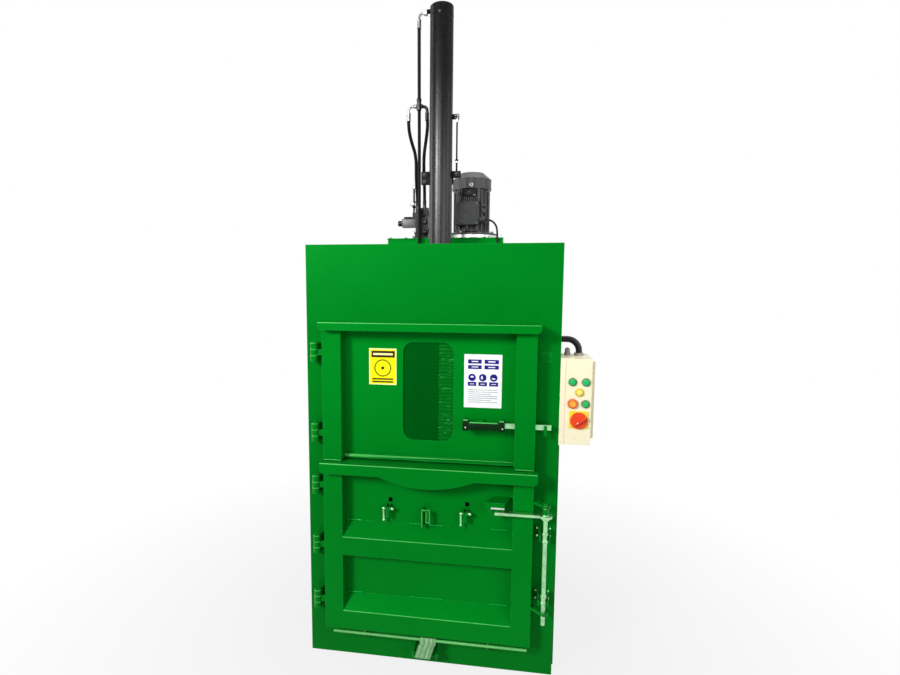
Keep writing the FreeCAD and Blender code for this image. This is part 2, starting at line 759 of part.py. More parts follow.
def rod_gland():
    flange = rod("z", (0, 0), d.gland_round, (d.deck_top, gland_top))
    nose = rod("z", (0, 0), d.gland_nose, (d.deck_top - d.nose_tall, d.deck_top))
    hole = rod("z", (0, 0), rod_hole, (d.deck_top - d.nose_tall, gland_top))
    gland = cut(fused(flange, nose), hole)
    heads = []
    count = int(d.gland_bolts.value)
    for number in range(count):
        angle = math.radians(360 * (number + 0.5) / count)
        ring = (d.barrel_round + d.gland_round) / 2
        heads.append(rod("z", (ring * math.cos(angle), ring * math.sin(angle)), 7,
                         (gland_top, gland_top + 8)))
    return fused(gland, *heads)


def piston_rod():
    low = d.barrel_top - d.piston_drop
    shaft = rod("z", (0, 0), d.rod_round, (hub_top, low))
    piston = rod("z", (0, 0), d.bore_round - d.free_gap, (low, low + d.piston_tall))
    return fused(shaft, piston)


def platen():
    piece = Piece("platen")
    half = d.chamber_half - d.platen_side
    deep = -plate_back - d.platen_clear
    piece.pad("XY", (d.platen_low, platen_top), rectangle((-half, half), (-deep, deep)))
    strap_grooves(piece, (d.platen_low, d.platen_low + d.groove_depth), (-deep, deep))
    rise = (platen_top, platen_top + d.platen_rib)
    thick = d.platen_rib_thick
    for x in (-half, -half / 2, half / 2 - thick, half - thick):
        piece.pad("XY", rise, rectangle((x, x + thick), (-deep, deep)))
    for y in (-deep, -thick / 2, deep - thick):
        piece.pad("XY", rise, rectangle((-half, half), (y, y + thick)))
    piece.pad("XY", (platen_top, hub_top), (0, 0, d.hub_round))
    return piece.body


# ---- hinges -------------------------------------------------------------------------------

hinge_y = front - d.hinge_out
hinge_line = (d.hinge_x, hinge_y)
pin_hole = d.pin_round + d.running_gap
hinge_step = d.knuckle_tall + d.knuckle_gap
load_hinges = (d.hinge_a, d.hinge_b)
bale_hinges = (d.hinge_c, d.hinge_d, d.hinge_e)


def knuckle(middle, x, y):
    """One knuckle round the hinge line, with its web or leaf; middle is its height."""
    span = (middle - d.knuckle_tall / 2, middle + d.knuckle_tall / 2)
    solid = fused(rod("z", hinge_line, d.knuckle_round, span), block(x, y, span))
    return cut(solid, rod("z", hinge_line, pin_hole, span))


def hinge_knuckles():
    """The outer knuckles, welded to the front plate."""
    half = d.knuckle_web / 2
    web = (d.hinge_x - half, d.hinge_x + half)
    return group(*[knuckle(middle + side * hinge_step, web, (hinge_y + pin_hole, front))
                   for middle in load_hinges + bale_hinges for side in (-1, 1)])


def hinge_pins():
    pins = []
    reach = d.knuckle_tall * 1.5 + d.knuckle_gap
    for middle in load_hinges + bale_hinges:
        pin = rod("z", hinge_line, d.pin_round, (middle - reach - 3, middle + reach))
        head = rod("z", hinge_line, d.pin_head, (middle + reach, middle + reach + 5))
        pins.append(fused(pin, head))
    return group(*pins)


def door_leaves(middles):
    """The middle knuckles, with leaves to the outer side of a door post."""
    half = d.leaf_thick / 2
    return [knuckle(middle, (d.hinge_x + pin_hole, d.door_left), (hinge_y - half, hinge_y + half))
            for middle in middles]


# ---- loading door -------------------------------------------------------------------------

door_y = (tube_face, door_face)
sheet_y = (door_face, door_back)
left_tube = (d.door_left, d.door_left + d.tube_wide)
right_tube = (d.door_right - d.tube_wide, d.door_right)
rail_x = (d.rail_left, d.rail_right)
window_x = (d.window_left, d.window_right)
window_z = (d.window_low, d.window_high)
latch_y = (front - d.latch_out, front - d.latch_out + d.latch_thick)
latch_z = (d.latch_low, d.latch_high)


def open_rail(z):
    """An overhanging rail, open at the back, with rounded lower corners."""
    piece = Piece("Rail")
    piece.pad("XZ", (rail_face, door_face), rectangle(rail_x, z))
    piece.round("XZ", d.rail_round, (rail_x[0], z[0]), (rail_x[1], z[0]))
    inner = rectangle((left_tube[1] + d.tube_wall, right_tube[0] - d.tube_wall),
                      (z[0] + d.tube_wall, z[1] - d.tube_wall))
    piece.cut("XZ", (rail_face + d.tube_wall, door_face), inner)
    return piece.body


def post(x, z):
    piece = Piece("Post")
    tube(piece, "XY", x, door_y, z, d.tube_wall)
    return piece.body


def upper_door_frame():
    z = (d.load_door_low, d.head_low)
    posts = fused(post(left_tube, z), post(right_tube, z), open_rail((d.head_low, d.head_high)))
    gap = d.latch_slot
    slot = block((right_tube[0] - 1, right_tube[1] + 1), (latch_y[0] - gap, latch_y[1] + gap),
                 (latch_z[0] - gap, latch_z[1] + gap))
    sill = Piece("Sill")
    out = door_face - d.sill_out
    sill.pad("YZ", (left_tube[1], right_tube[0]),
             [(door_face, d.sill_back), (door_face, d.sill_back - d.sill_thick),
              (out, d.sill_front - d.sill_thick), (out, d.sill_front)])
    half = d.guide_wide / 2
    low = (d.guide_x - half, d.guide_x + half)
    guide = block(low, (latch_y[0] - 5, door_face), (latch_z[0] - 8, latch_z[1] + 8))
    way = block((low[0] - 1, low[1] + 1), (latch_y[0] - gap, latch_y[1] + gap),
                (latch_z[0] - gap, latch_z[1] + gap))
    return fused(cut(posts, slot), sill.body, cut(guide, way), *door_leaves(load_hinges))


def upper_door_panel():
    piece = Piece("upper_door_panel")
    piece.pad("XZ", sheet_y, rectangle((d.door_left, d.door_right), (d.load_door_low, d.head_high)),
              rectangle(window_x, window_z))
    piece.round("XZ", d.window_round, *corners(window_x, window_z))
    return piece.body


def window_pane():
    lap = d.pane_lap
    return block((window_x[0] - lap, d.comb_left), (door_back, door_back + d.pane_thick),
                 (window_z[0] - lap, window_z[1] + lap))


def window_comb():
    """A strip with level ribs; its right edge lies against the back of the door sheet."""
    piece = Piece("window_comb")
    x = (d.comb_left, d.comb_right)
    back = door_back + d.comb_rib
    piece.pad("XZ", (back, back + d.pane_thick), rectangle(x, (d.comb_low, d.comb_high)))
    piece.pad("XZ", (door_back, back), rectangle((window_x[1] + 4, x[1]), (d.comb_low, d.comb_high)))
    low = d.comb_low + d.comb_pitch / 2
    first = piece.pad("YZ", (x[0], window_x[1] + 4),
                      [(back, low), (back, low + d.comb_pitch * 0.7),
                       (door_back, low + d.comb_pitch * 0.45), (door_back, low + d.comb_pitch * 0.25)])
    piece.row(first, "V_Axis", d.comb_count, d.comb_pitch)
    return piece.body


def latch_bar():
    bar = block((d.latch_left, d.latch_right), latch_y, latch_z)
    finger = block((d.finger_x, d.finger_x + d.finger_wide), (latch_y[0] - d.finger_thick, latch_y[0]),
                   (d.finger_low, d.finger_high))
    return fused(bar, finger)


def latch_handle():
    """A bridge handle: two feet on the bar and a grip between them."""
    piece = Piece("latch_handle")
    base = latch_y[0]
    grip = base - d.handle_stand
    outer = grip - d.handle_grip
    left, right, foot = d.handle_left, d.handle_right, d.handle_foot
    piece.pad("XY", (d.handle_low, d.handle_high),
              [(left, base), (left + foot, base), (left + foot, grip), (right - foot, grip),
               (right - foot, base), (right, base), (right, grip), (right - foot / 2, outer),
               (left + foot / 2, outer), (left, grip)])
    return piece.body


# ---- bale door ----------------------------------------------------------------------------

mid_z = (d.mid_low, d.mid_high)
between = (left_tube[1], right_tube[0])


def lower_door_frame():
    z = (d.bale_door_low, d.mid_low)
    skirt = Piece("Skirt")
    half, drop = d.skirt_half, d.skirt_drop
    skirt.pad("XZ", (rail_face, rail_face + d.tube_wall),
              [(-half, d.mid_low), (0, d.mid_low - drop, "arc"), (half, d.mid_low),
               (half, d.mid_low + 5), (-half, d.mid_low + 5)])
    rails = []
    for low, high in ((d.rail_low, d.rail_high), (d.bale_door_low, d.foot_high)):
        rail = Piece("Cross")
        tube(rail, "YZ", door_y, (low, high), between, d.tube_wall)
        rails.append(rail.body)
    return fused(post(left_tube, z), post(right_tube, z), open_rail(mid_z), skirt.body, *rails,
                 *door_leaves(bale_hinges))


def lower_door_panel():
    piece = Piece("lower_door_panel")
    half = d.slot_wide / 2
    slots = [rectangle((strap - half, strap + half), (d.slot_low, d.slot_low + d.slot_tall))
             for strap in (d.strap_left, d.strap_right)]
    piece.pad("XZ", sheet_y, rectangle((d.door_left, d.door_right), (d.bale_door_low, d.mid_high)),
              *slots)
    return piece.body


def rail_slopes():
    """Sloped sheets from the door sheet down to the front edge of each cross rail."""
    sheets = []
    for high, low in ((d.slope_high, d.rail_high), (d.slope_foot, d.foot_high)):
        piece = Piece("Slope")
        thick = d.slope_thick
        piece.pad("YZ", between, [(door_face, high), (door_face, high - thick * 1.5),
                                  (tube_face + thick * 1.5, low), (tube_face, low)])
        sheets.append(piece.body)
    return group(*sheets)


def lug(low, start_x):
    """A level lug from the door post to the lock rod, with a rounded end and a bore."""
    piece = Piece("Lug")
    y = front - d.lock_out
    side = d.lug_round
    piece.pad("XY", (low, low + d.lug_thick),
              [(start_x, tube_face + 2 + d.lug_root), (start_x, tube_face + 2), (d.lock_x, y - side),
               (d.lock_x + side, y, "arc"), (d.lock_x, y + side)],
              (d.lock_x, y, d.lock_round + d.running_gap))
    return piece.body


def lock_lugs():
    """Both lugs on the post, and the catch plate beside them on the door sheet."""
    ears = [lug(low, d.door_right) for low in (d.ear_low, d.tongue_low)]
    near = door_face - d.catch_out
    left, right, low = d.catch_left, d.catch_right, d.catch_low
    plate = Piece("Catch")
    plate.pad("XY", (low, low + d.lug_thick),
              [(left + 37, door_face), (right + 28, door_face), (right, near), (left, near)])
    hook = Piece("Hook")
    hook.pad("XZ", (near, near + d.lug_thick),
             [(left, low), (right, low), (right, low - 9), (left + 25, low - 16),
              (left + 35, low - 45), (left + 29, low - d.catch_lip)])
    behind = (near + d.lug_thick, near + 36)
    tab = block((left + 19, right - 1), behind, (d.tab_low, d.tab_low + d.tab_tall))
    stem = block((right - 9, right - 1), behind, (d.tab_low + d.tab_tall, low))
    return group(*ears, fused(plate.body, hook.body, tab, stem))


def brake_cheeks(middle):
    """Two cheeks on the door sheet that carry the pivot of one strap brake."""
    cheeks = []
    middle = middle + d.brake_shift
    for side in (-1, 1):
        inner = middle + side * d.brake_inside
        outer = inner + side * d.brake_cheek
        x = (outer, inner) if side < 0 else (inner, outer)
        piece = Piece("Cheek")
        y = front - d.brake_out
        piece.pad("YZ", x, [(door_face, d.brake_z + 12), (y, d.brake_z + 10), (y - 10, d.brake_z, "arc"),
                            (y, d.brake_z - 10), (door_face, d.brake_z - 22)],
                  (y, d.brake_z, d.brake_pin + d.running_gap))
        cheeks.append(piece.body)
    return cheeks


def strap_brackets():
    """Brake cheeks at both strap lines, and the folded strap hook between them."""
    z = (d.hook_low, d.hook_high)
    y = door_face - d.hook_out
    leg = block((d.hook_left, d.hook_left + 5), (y, door_face), z)
    bridge = block((d.hook_left, d.hook_right), (y, y + 5), (z[1] - 8, z[1]))
    flap = block((d.hook_left + 17, d.hook_right), (y, y + 5), (z[0] + 20, z[1]))
    return group(*brake_cheeks(d.strap_left), *brake_cheeks(d.strap_right), fused(leg, bridge, flap))


def brake_lever(middle):
    """A cam between the cheeks, on a pivot with ball ends, and a bent arm from the left ball."""
    y = front - d.brake_out
    middle = middle + d.brake_shift
    reach = d.brake_inside + d.brake_cheek + d.brake_ball + d.free_gap
    pivot = rod("x", (y, d.brake_z), d.brake_pin, (middle - reach, middle + reach))
    balls = [ball(middle + side * reach, y, d.brake_z, d.brake_ball) for side in (-1, 1)]
    cam = Piece("Cam")
    half = d.brake_inside - d.free_gap
    cam.pad("YZ", (middle - half, middle + half),
            [(y - 9, d.brake_z + 6), (y + 9, d.brake_z + 6),
             (y + 3, d.brake_z - 34), (y - 6, d.brake_z - 34)])
    low = d.brake_z - d.brake_arm
    arm = rod("z", (middle - reach, y), d.brake_arm_round, (low, d.brake_z))
    tip = ball(middle - reach, y, low, d.brake_arm_round + 1)
    return fused(pivot, *balls, cam.body, arm, tip)


# ---- lock of the bale door ----------------------------------------------------------------

lock_y = front - d.lock_out
lock_line = (d.lock_x, lock_y)
lever_z = (d.lever_low, d.lever_low + d.lever_thick)


def lock_rod():
    parts = [rod("z", lock_line, d.lock_round, (d.lock_low, d.lock_high))]
    for low in (d.sleeve_high, d.sleeve_low):
        parts.append(rod("z", lock_line, d.sleeve_round - 2, (low, low + d.sleeve_tall)))
        for end in (low, low + d.sleeve_tall - 9):
            parts.append(rod("z", lock_line, d.sleeve_round, (end, end + 9)))
    cap = rod("z", lock_line, d.sleeve_round - 1, (lever_z[1] + 2, d.ear_low - 4))
    return fused(*parts, cap)


def lock_lever():
    """A flat bar, level with the door, that ends in an eye on the lock rod."""
    half = d.lever_wide / 2
    bar = Piece("Bar")
    bar.pad("XY", lever_z, [(d.lever_left, lock_y - half), (d.lock_x, lock_y - half),
                            (d.lock_x, lock_y + half), (d.lever_left + 20, lock_y + half)])
    eye = rod("z", lock_line, d.eye_round, lever_z)
    boss = rod("z", lock_line, d.sleeve_round + 2, (lever_z[0] - 10, lever_z[1] + 2))
    hole = rod("z", lock_line, d.lock_round, (lever_z[0] - 10, lever_z[1] + 2))
    return cut(fused(bar.body, eye, boss), hole)


def rod_saddles():
    """Two open-fronted saddles bolted to the front plate."""
    saddles = []
    for low in (d.saddle_high, d.saddle_low):
        high = low + d.saddle_tall
        half = d.saddle_wide / 2
        base = block((d.lock_x - half, d.lock_x + half), (front - d.saddle_plate, front), (low, high))
        parts = [base]
        for side in (-1, 1):
            inner = d.lock_x + side * d.saddle_inside
            outer = inner + side * d.saddle_plate
            x = (outer, inner) if side < 0 else (inner, outer)
            cheek = Piece("Cheek")
            cheek.pad("YZ", x, [(front - d.saddle_plate, low), (front - d.saddle_plate, high),
                                (front - d.saddle_out, high - 6), (front - d.saddle_out, low + 20)])
            parts.append(cheek.body)
            bolt_x = d.lock_x + side * (half - 5)
            for bolt_z in (low + 9, high - 9):
                parts.append(rod("y", (bolt_x, bolt_z), d.bolt_round,
                                 (front - d.saddle_plate - d.bolt_tall, front - d.saddle_plate)))
        saddles.append(fused(*parts))
    return group(*saddles)


# ---- fittings at the foot of the plate ----------------------------------------------------

bar_y = front - d.bar_out


def strap_rail():
    """A round bar on two gussets."""
    bar = rod("x", (bar_y, d.bar_z), d.bar_round, (d.bar_left, d.bar_right))
    gussets = []
    for middle in (d.gusset_left, d.gusset_right):
        half = d.gusset_thick / 2
        piece = Piece("Gusset")
        piece.pad("YZ", (middle - half, middle + half),
                  [(front, d.bar_z), (bar_y, d.bar_z), (bar_y, d.bar_z - 8),
                   (front, d.bar_z - d.gusset_tall)])
        gussets.append(piece.body)
    return fused(bar, *gussets)


def strap_bracket():
    """Two cheeks on the front plate with a roller pin between them."""
    y = front - d.roller_out
    foot = d.cheek_foot / 2
    nose = d.cheek_nose
    parts = []
    for left in (d.cheek_left, d.cheek_right - d.cheek_thick):
        piece = Piece("Cheek")
        piece.pad("YZ", (left, left + d.cheek_thick),
                  [(front, d.roller_z + foot), (y, d.roller_z + nose), (y - nose, d.roller_z, "arc"),
                   (y, d.roller_z - nose), (front, d.roller_z - foot)])
        parts.append(piece.body)
    parts.append(rod("x", (y, d.roller_z), d.roller_round, (d.cheek_left - 6, d.cheek_right + 6)))
    for end in (d.cheek_left - 6, d.cheek_right + 1):
        parts.append(rod("x", (y, d.roller_z), d.roller_round + 3, (end, end + 5)))
    return fused(*parts)


def ejector_strap():
    """Webbing over the bar and down to the roller pin."""
    thick = d.belt_thick
    inner = d.bar_round + d.free_gap
    outer = inner + thick
    y = front - d.roller_out
    lean = d.belt_lean
    piece = Piece("ejector_strap")
    left = d.belt_left
    face = (bar_y - outer, bar_y - inner)
    ring = d.roller_round + d.free_gap
    piece.pad("XZ", face, [(left, d.bar_z), (left + d.belt_wide, d.bar_z),
                           (left + d.belt_wide - lean, d.roller_z - ring - thick),
                           (left - lean, d.roller_z - ring - thick)])
    x = (left, left + d.belt_wide)
    wrap = cut(rod("x", (bar_y, d.bar_z), outer, x), rod("x", (bar_y, d.bar_z), inner, x),
               block(x, (bar_y - outer, bar_y + outer), (d.bar_z - outer, d.bar_z)))
    tail = block(x, (bar_y + inner, bar_y + outer), (d.bar_z - 24, d.bar_z))
    under = (d.roller_z - ring - thick, d.roller_z - ring)
    piece.pad("XY", under, rectangle((left - lean, left + d.belt_wide - lean), (face[0], y + 6)))
    return fused(piece.body, wrap, tail)


# ---- power unit ---------------------------------------------------------------------------

tank_back = d.tank_front + d.tank_deep
lid_top = d.lid_low + d.lid_thick
motor_line = (d.motor_x, d.motor_y)
shaft_hole = d.shaft_round + d.running_gap


def oil_tank():
    wall = d.tank_wall
    outer = block((d.tank_left, d.tank_right), (d.tank_front, tank_back), (d.deck_top, d.lid_low))
    inner = block((d.tank_left + wall, d.tank_right - wall), (d.tank_front + wall, tank_back - wall),
                  (d.deck_top + wall, d.lid_low))
    return cut(outer, inner)


def tank_lid():
    lap = d.lid_lap
    plate = block((d.tank_left - lap, d.tank_right + lap), (d.tank_front - lap, tank_back + lap),
                  (d.lid_low, lid_top))
    return cut(plate, rod("z", motor_line, d.pump_round - 8, (d.lid_low, lid_top)))


def tank_breather():
    x, y = d.tank_right - 14, d.tank_front + 20
    neck = rod("z", (x, y), 6, (lid_top, lid_top + 8))
    return fused(neck, rod("z", (x, y), 9, (lid_top + 8, lid_top + 18)))


def oil_pump():
    """The pump hangs from the motor flange, through the lid."""
    nose = rod("z", motor_line, d.pump_round - 9, (d.lid_low - 20, lid_top))
    body = rod("z", motor_line, d.pump_round, (d.pump_low, d.lid_low - 20))
    pipe = rod("z", (d.motor_x + 24, d.motor_y), 9, (d.deck_top + 12, d.pump_low))
    hole = rod("z", motor_line, shaft_hole, (d.pump_low + 30, lid_top))
    return cut(fused(nose, body, pipe), hole)


def motor_body():
    """Flange, finned body, and the foot that carries the terminal box."""
    piece = Piece("motor_body")
    top = lid_top + d.flange_tall
    height = d.body_high - lid_top
    rise = d.body_low - lid_top
    piece.turn((shaft_hole, 0), (d.flange_round, 0), (d.flange_round, rise - 12),
               (d.body_round, rise), (d.body_round, height), (shaft_hole, height))
    fin = piece.pad("XY", (top - lid_top, height - 8),
                    rectangle((d.body_round - 2, d.fin_round), (-d.fin_thick / 2, d.fin_thick / 2)))
    piece.ring(fin, d.fin_count)
    body = piece.place(d.motor_x, d.motor_y, lid_top)
    foot = block((d.tbox_left + 22, d.tbox_right - 22),
                 (d.motor_y - d.tbox_out + d.tbox_deep, d.motor_y - d.body_round + 12),
                 (d.tbox_low + 14, d.tbox_high - 14))
    return fused(body, foot)


def fan_cowl():
    """A bevelled cowl with a grille of slots in its top."""
    piece = Piece("fan_cowl")
    wall = d.cowl_wall
    height = d.cowl_top - d.body_high
    bevel = height - d.cowl_cut
    piece.turn((d.fin_round - 10, 0), (d.cowl_round, 0), (d.cowl_round, bevel), (d.cowl_flat, height),
               (0, height), (0, height - wall), (d.cowl_flat - 2, height - wall),
               (d.cowl_round - wall, bevel - 1), (d.cowl_round - wall, wall), (d.fin_round - 10, wall))
    slot = piece.cut("XY", (height - wall - 1, height + 1), rectangle((16, d.cowl_flat - 8), (-3, 3)))
    piece.ring(slot, 12)
    return piece.place(d.motor_x, d.motor_y, d.body_high)


def motor_shaft():
    return rod("z", motor_line, d.shaft_round, (d.pump_low + 31, d.fan_low + d.fan_tall))


def cooling_fan():
    piece = Piece("cooling_fan")
    hub = d.shaft_round + 10
    piece.pad("XY", (0, d.fan_tall), (0, 0, hub), (0, 0, d.shaft_round))
    blade = piece.pad("XY", (2, d.fan_tall - 2), rectangle((hub - 2, d.fan_round), (-1.5, 1.5)))
    piece.ring(blade, d.fan_blades)
    return piece.place(d.motor_x, d.motor_y, d.fan_low)


def terminal_box():
    """A box with level ribs on its face and a cable gland at its right side."""
    y = (d.motor_y - d.tbox_out, d.motor_y - d.tbox_out + d.tbox_deep)
    x = (d.tbox_left, d.tbox_right)
    piece = Piece("terminal_box")
    z = (d.tbox_low, d.tbox_high)
    piece.pad("XZ", y, rectangle(x, z))
    piece.round("XZ", 9, *corners(x, z))
    rib = piece.pad("XZ", (y[0] - 2, y[0]), rectangle((x[0] + 14, x[1] - 14), (z[0] + 12, z[0] + 16)))
    piece.row(rib, "V_Axis", 9, 10)
    neck = rod("x", (y[0] + 24, z[0] + d.tbox_gland), 11, (x[1], x[1] + 26))
    return fused(piece.body, neck)


def valve_block():
    """A manifold on the tank lid with a base, plugs and an adjusting knob."""
    x = (d.block_left, d.block_right)
    y = (d.block_front, d.block_front + d.block_deep)
    body = block((x[0] + 8, x[1]), y, (lid_top, d.block_high))
    base = block((x[0] - 4, x[0] + 20), (y[0] + 4, y[1]), (lid_top, lid_top + 34))
    spindle_x = x[0] - 3
    ear = block((spindle_x - 6, x[0] + 8), (y[0] + 12, y[0] + 28), (d.block_high - 48, d.block_high - 20))
    top = d.block_high + d.spindle_high
    spindle = rod("z", (spindle_x, y[0] + 20), 4.5, (d.block_high - 30, top))
    knobs = [ball(spindle_x, y[0] + 20, height, 8) for height in (d.block_high + 8, top + 4)]
    plug = ball(d.block_right - 16, y[0] - 2, lid_top + 27, 13)
    return fused(body, base, ear, spindle, *knobs, plug)


def valve_solenoid():
    """A coil on the left side of the valve block, with its plug on top and a knob at its end."""
    x = d.block_left + 8
    y = d.block_front + d.block_deep / 2
    z = (d.coil_low + d.coil_high) / 2
    half = d.coil_deep / 2
    coil = block((x - d.coil_long, x), (y - half, y + half), (d.coil_low, d.coil_high))
    plug = block((x - d.coil_long + 8, x - 24), (y - half + 8, y + half - 8),
                 (d.coil_high, d.coil_high + 10))
    knob = rod("x", (y, z), d.coil_knob, (x - d.coil_long - 22, x - d.coil_long))
    return fused(coil, plug, knob)


def barrel_collar():
    """A half collar behind the barrel with two arms, and the stay rod down to the right arm."""
    z = (d.collar_low, d.collar_low + d.collar_tall)
    outer = d.barrel_round + d.collar_wall
    ring = cut(rod("z", (0, 0), outer, z), block((-outer, outer), (-outer, 2), z))
    deep = (2, 2 + d.arm_deep)
    arms = fused(block((-outer - d.collar_arm, 0), deep, z),
                 block((0, outer + d.collar_arm), deep, (z[0] + d.collar_tall / 2, z[1])))
    stay_x = d.barrel_round + d.stay_out
    stay_y = d.arm_deep / 2
    stay_top = z[1] + d.stay_tall
    hole = rod("z", (0, 0), d.barrel_round, (z[0], stay_top + 20))
    boss = rod("x", (stay_y, stay_top), 11, (d.barrel_round - 4, stay_x + 8))
    stay = rod("z", (stay_x, stay_y), d.stay_round, (z[1] + 36, stay_top))
    knot = ball(stay_x, stay_y, z[1] + 46, 7)
    link = rod("z", (stay_x, stay_y), 4, (z[1] - 4, z[1] + 39))
    return fused(cut(fused(ring, arms, boss), hole), stay, knot, link)


# ---- hoses and cables ---------------------------------------------------------------------

def rounded_path(points):
    """Straight runs joined by tangent arcs, each as large as its two runs allow."""
    points = [Vector(*point) for point in points]
    edges = []
    radii = []
    start = points[0]
    for before, corner, after in zip(points, points[1:], points[2:]):
        into = (corner - before).normalize()
        out = (after - corner).normalize()
        half_turn = into.getAngle(out) / 2
        reach = 0.45 * min((corner - before).Length, (after - corner).Length)
        radii.append(reach / math.tan(half_turn))
        arc_start = corner - into * reach
        arc_end = corner + out * reach
        middle = (out - into).normalize()
        centre = corner + middle * (radii[-1] / math.cos(half_turn))
        edges.append(Part.LineSegment(start, arc_start).toShape())
        edges.append(Part.Arc(arc_start, centre - middle * radii[-1], arc_end).toShape())
        start = arc_end
    edges.append(Part.LineSegment(start, points[-1]).toShape())
    return Part.Wire(edges), radii


def hose(name, points, radius):
    path, radii = rounded_path(points)
    direction = Vector(*points[1]) - Vector(*points[0])
    ring = Part.Wire(Part.makeCircle(radius, Vector(*points[0]), direction))
    solid = path.makePipeShell([ring], True, False)
    expected = math.pi * radius ** 2 * path.Length
    print(f"{name}: length {path.Length:.0f}, least radius {min(radii):.0f}, "
          f"volume over section times length {solid.Volume / expected:.4f}")
    thing = doc.addObject("Part::Feature", name)
    thing.Shape = solid
    return thing


block_top = d.block_high.value
deck_z = d.deck_top.value
hose_back = d.block_front.value + 15
port_z = d.barrel_top.value + d.cap_tall.value / 2
tee_z = block_top + d.tee_rise.value
arm_z = tee_z - 8
ferrule_low = arm_z - d.elbow_bend.value - 8 - d.ferrule_tall.value
port_line = (-d.barrel_round.value - 49, 10)
down_line = (-119, 160)
left_drop = (-155, 75)
right_drop = (-72, 75)
tee_line = (-108, 70)
block_ports = (-136, -101)
PRESSURE_ROUTE = [(*port_line, port_z - 30), (*port_line, port_z - 114), (*down_line, block_top + 76),
                  (*down_line, deck_z)]
RETURN_ROUTE = [(*left_drop, ferrule_low + 24), (-158, 80, tee_z - 90), (-150, 108, tee_z - 146),
                (-130, 132, tee_z - 208), (-135, 160, tee_z - 307),
                (block_ports[0], hose_back, block_top + 61), (block_ports[0], hose_back, block_top)]
LINK_ROUTE = [(*right_drop, ferrule_low + 24), (-69, 80, tee_z - 82), (-79, 106, tee_z - 134),
              (-93, 126, tee_z - 200), (-97, 148, tee_z - 266), (-99, 182, tee_z - 322),
              (block_ports[1], hose_back, block_top + 56), (block_ports[1], hose_back, block_top)]
cable_z = d.tbox_low.value + d.tbox_gland.value
CABLE_ROUTE = [(183, 192, cable_z), (205, 192, cable_z), (227, 191, cable_z - 11), (242, 186, cable_z - 33),
               (246, 173, cable_z - 62), (245, 163, cable_z - 100), (244, 161, deck_z + 92),
               (244, 161, deck_z)]


def hexagon(axis, centre, radius, span):
    """A hexagon bar along an axis, like a rod; radius reaches its corners."""
    thing = doc.addObject("Part::Prism", "Hexagon")
    thing.Polygon = 6
    thing.Placement.Rotation = TURNS[axis]
    bind(thing, "Circumradius", radius)
    bind(thing, "Height", Length.of(span[1]) - span[0])
    place = list(centre)
    place.insert("xyz".index(axis), span[0])
    move(thing, *place)
    return thing


def elbow(x, y, z, side):
    """A quarter bend from a level run at z down to a drop at x; side is +1 to the right."""
    thing = doc.addObject("Part::Torus", "Elbow")
    bind(thing, "Radius1", d.elbow_bend)
    bind(thing, "Radius2", d.elbow_round)
    thing.Angle3 = 90
    level = Rotation(Vector(0, 1, 0), -90).multiply(Rotation(Vector(1, 0, 0), -90 * side))
    thing.Placement.Rotation = level
    move(thing, x - d.elbow_bend * side, y, z - d.elbow_bend)
    return thing


def swivel(start, drop, z, side, nut):
    """A nut, a bent tube and the ferrule of a hose that hangs from it."""
    x, y = drop
    turn = x - d.elbow_bend * side
    low = z - d.elbow_bend - 8
    run = (start, turn) if side > 0 else (turn, start)
    return fused(hexagon("x", (y, z), nut, run), elbow(x, y, z, side),
                 rod("z", drop, d.elbow_round, (low, z - d.elbow_bend)),
                 rod("z", drop, d.ferrule_round, (low - d.ferrule_tall, low)))


def hose_fittings():
    """Swivel elbows and ferrules, and the tee that splits the pressure line."""
    r = d.ferrule_round
    half = d.tee_wide / 2
    tall = d.tee_tall / 2
    tee_x, tee_y = tee_line
    tee = block((tee_x - half, tee_x + half), (tee_y - half, tee_y + half), (tee_z - tall, tee_z + tall))
    parts = [swivel(-d.barrel_round - d.port_out, port_line, port_z, -1, 12),
             fused(tee, swivel(tee_x - half, left_drop, arm_z, -1, 9),
                   swivel(tee_x + half, right_drop, arm_z, 1, 9))]
    for x in block_ports:
        parts.append(rod("z", (x, hose_back), r - 0.5, (block_top, block_top + d.ferrule_tall)))
    parts.append(rod("z", down_line, r, (block_top - 5 - d.ferrule_tall, block_top - 5)))
    parts.append(rod("z", down_line, r, (deck_z, deck_z + 24)))
    return group(*parts)


def conduit():
    """Corrugated conduit from the top of the control box to the side wall, with its bore."""
    x, y, low = conduit_x.value, d.conduit_y.value, d.box_high.value
    turn, foot, radius = d.conduit_turn.value, d.conduit_foot.value, d.conduit_round.value
    level = low + foot + turn
    corner = Vector(x - turn, y, low + foot)
    end = wall_outer.value
    bend = foot + turn * math.pi / 2
    total = bend + corner.x - end

    def station(way):
        """The place and the direction of the centre line at a distance along it."""
        if way < foot:
            return Vector(x, y, low + way), Vector(0, 0, 1)
        if way < bend:
            angle = (way - foot) / turn
            place = corner + Vector(turn * math.cos(angle), 0, turn * math.sin(angle))
            return place, Vector(-math.sin(angle), 0, math.cos(angle))
        return Vector(corner.x - (way - bend), y, level), Vector(-1, 0, 0)

    def ring(way, size):
        place, along = station(way)
        return Part.Wire(Part.Edge(Part.Circle(place, along, size)))

    groove = radius - 1.5
    rings = [ring(0, groove)]
    for rib in range(int(d.conduit_ribs.value)):
        start = radius + rib * d.conduit_pitch.value
        rings += [ring(start, groove), ring(start + 1.2, radius), ring(start + 3.6, radius),
                  ring(start + 4.8, groove)]
    rings.append(ring(total, groove))
    steps = [foot + (bend - foot) * part / 8 for part in range(9)]
    bores = [ring(way, radius - 3) for way in (0, *steps, total)]
    solid = Part.makeLoft(rings, True, True).cut(Part.makeLoft(bores, True, True))
    thing = doc.addObject("Part::Feature", "control_conduit")
    thing.Shape = solid
    return thing


# ---- control box --------------------------------------------------------------------------

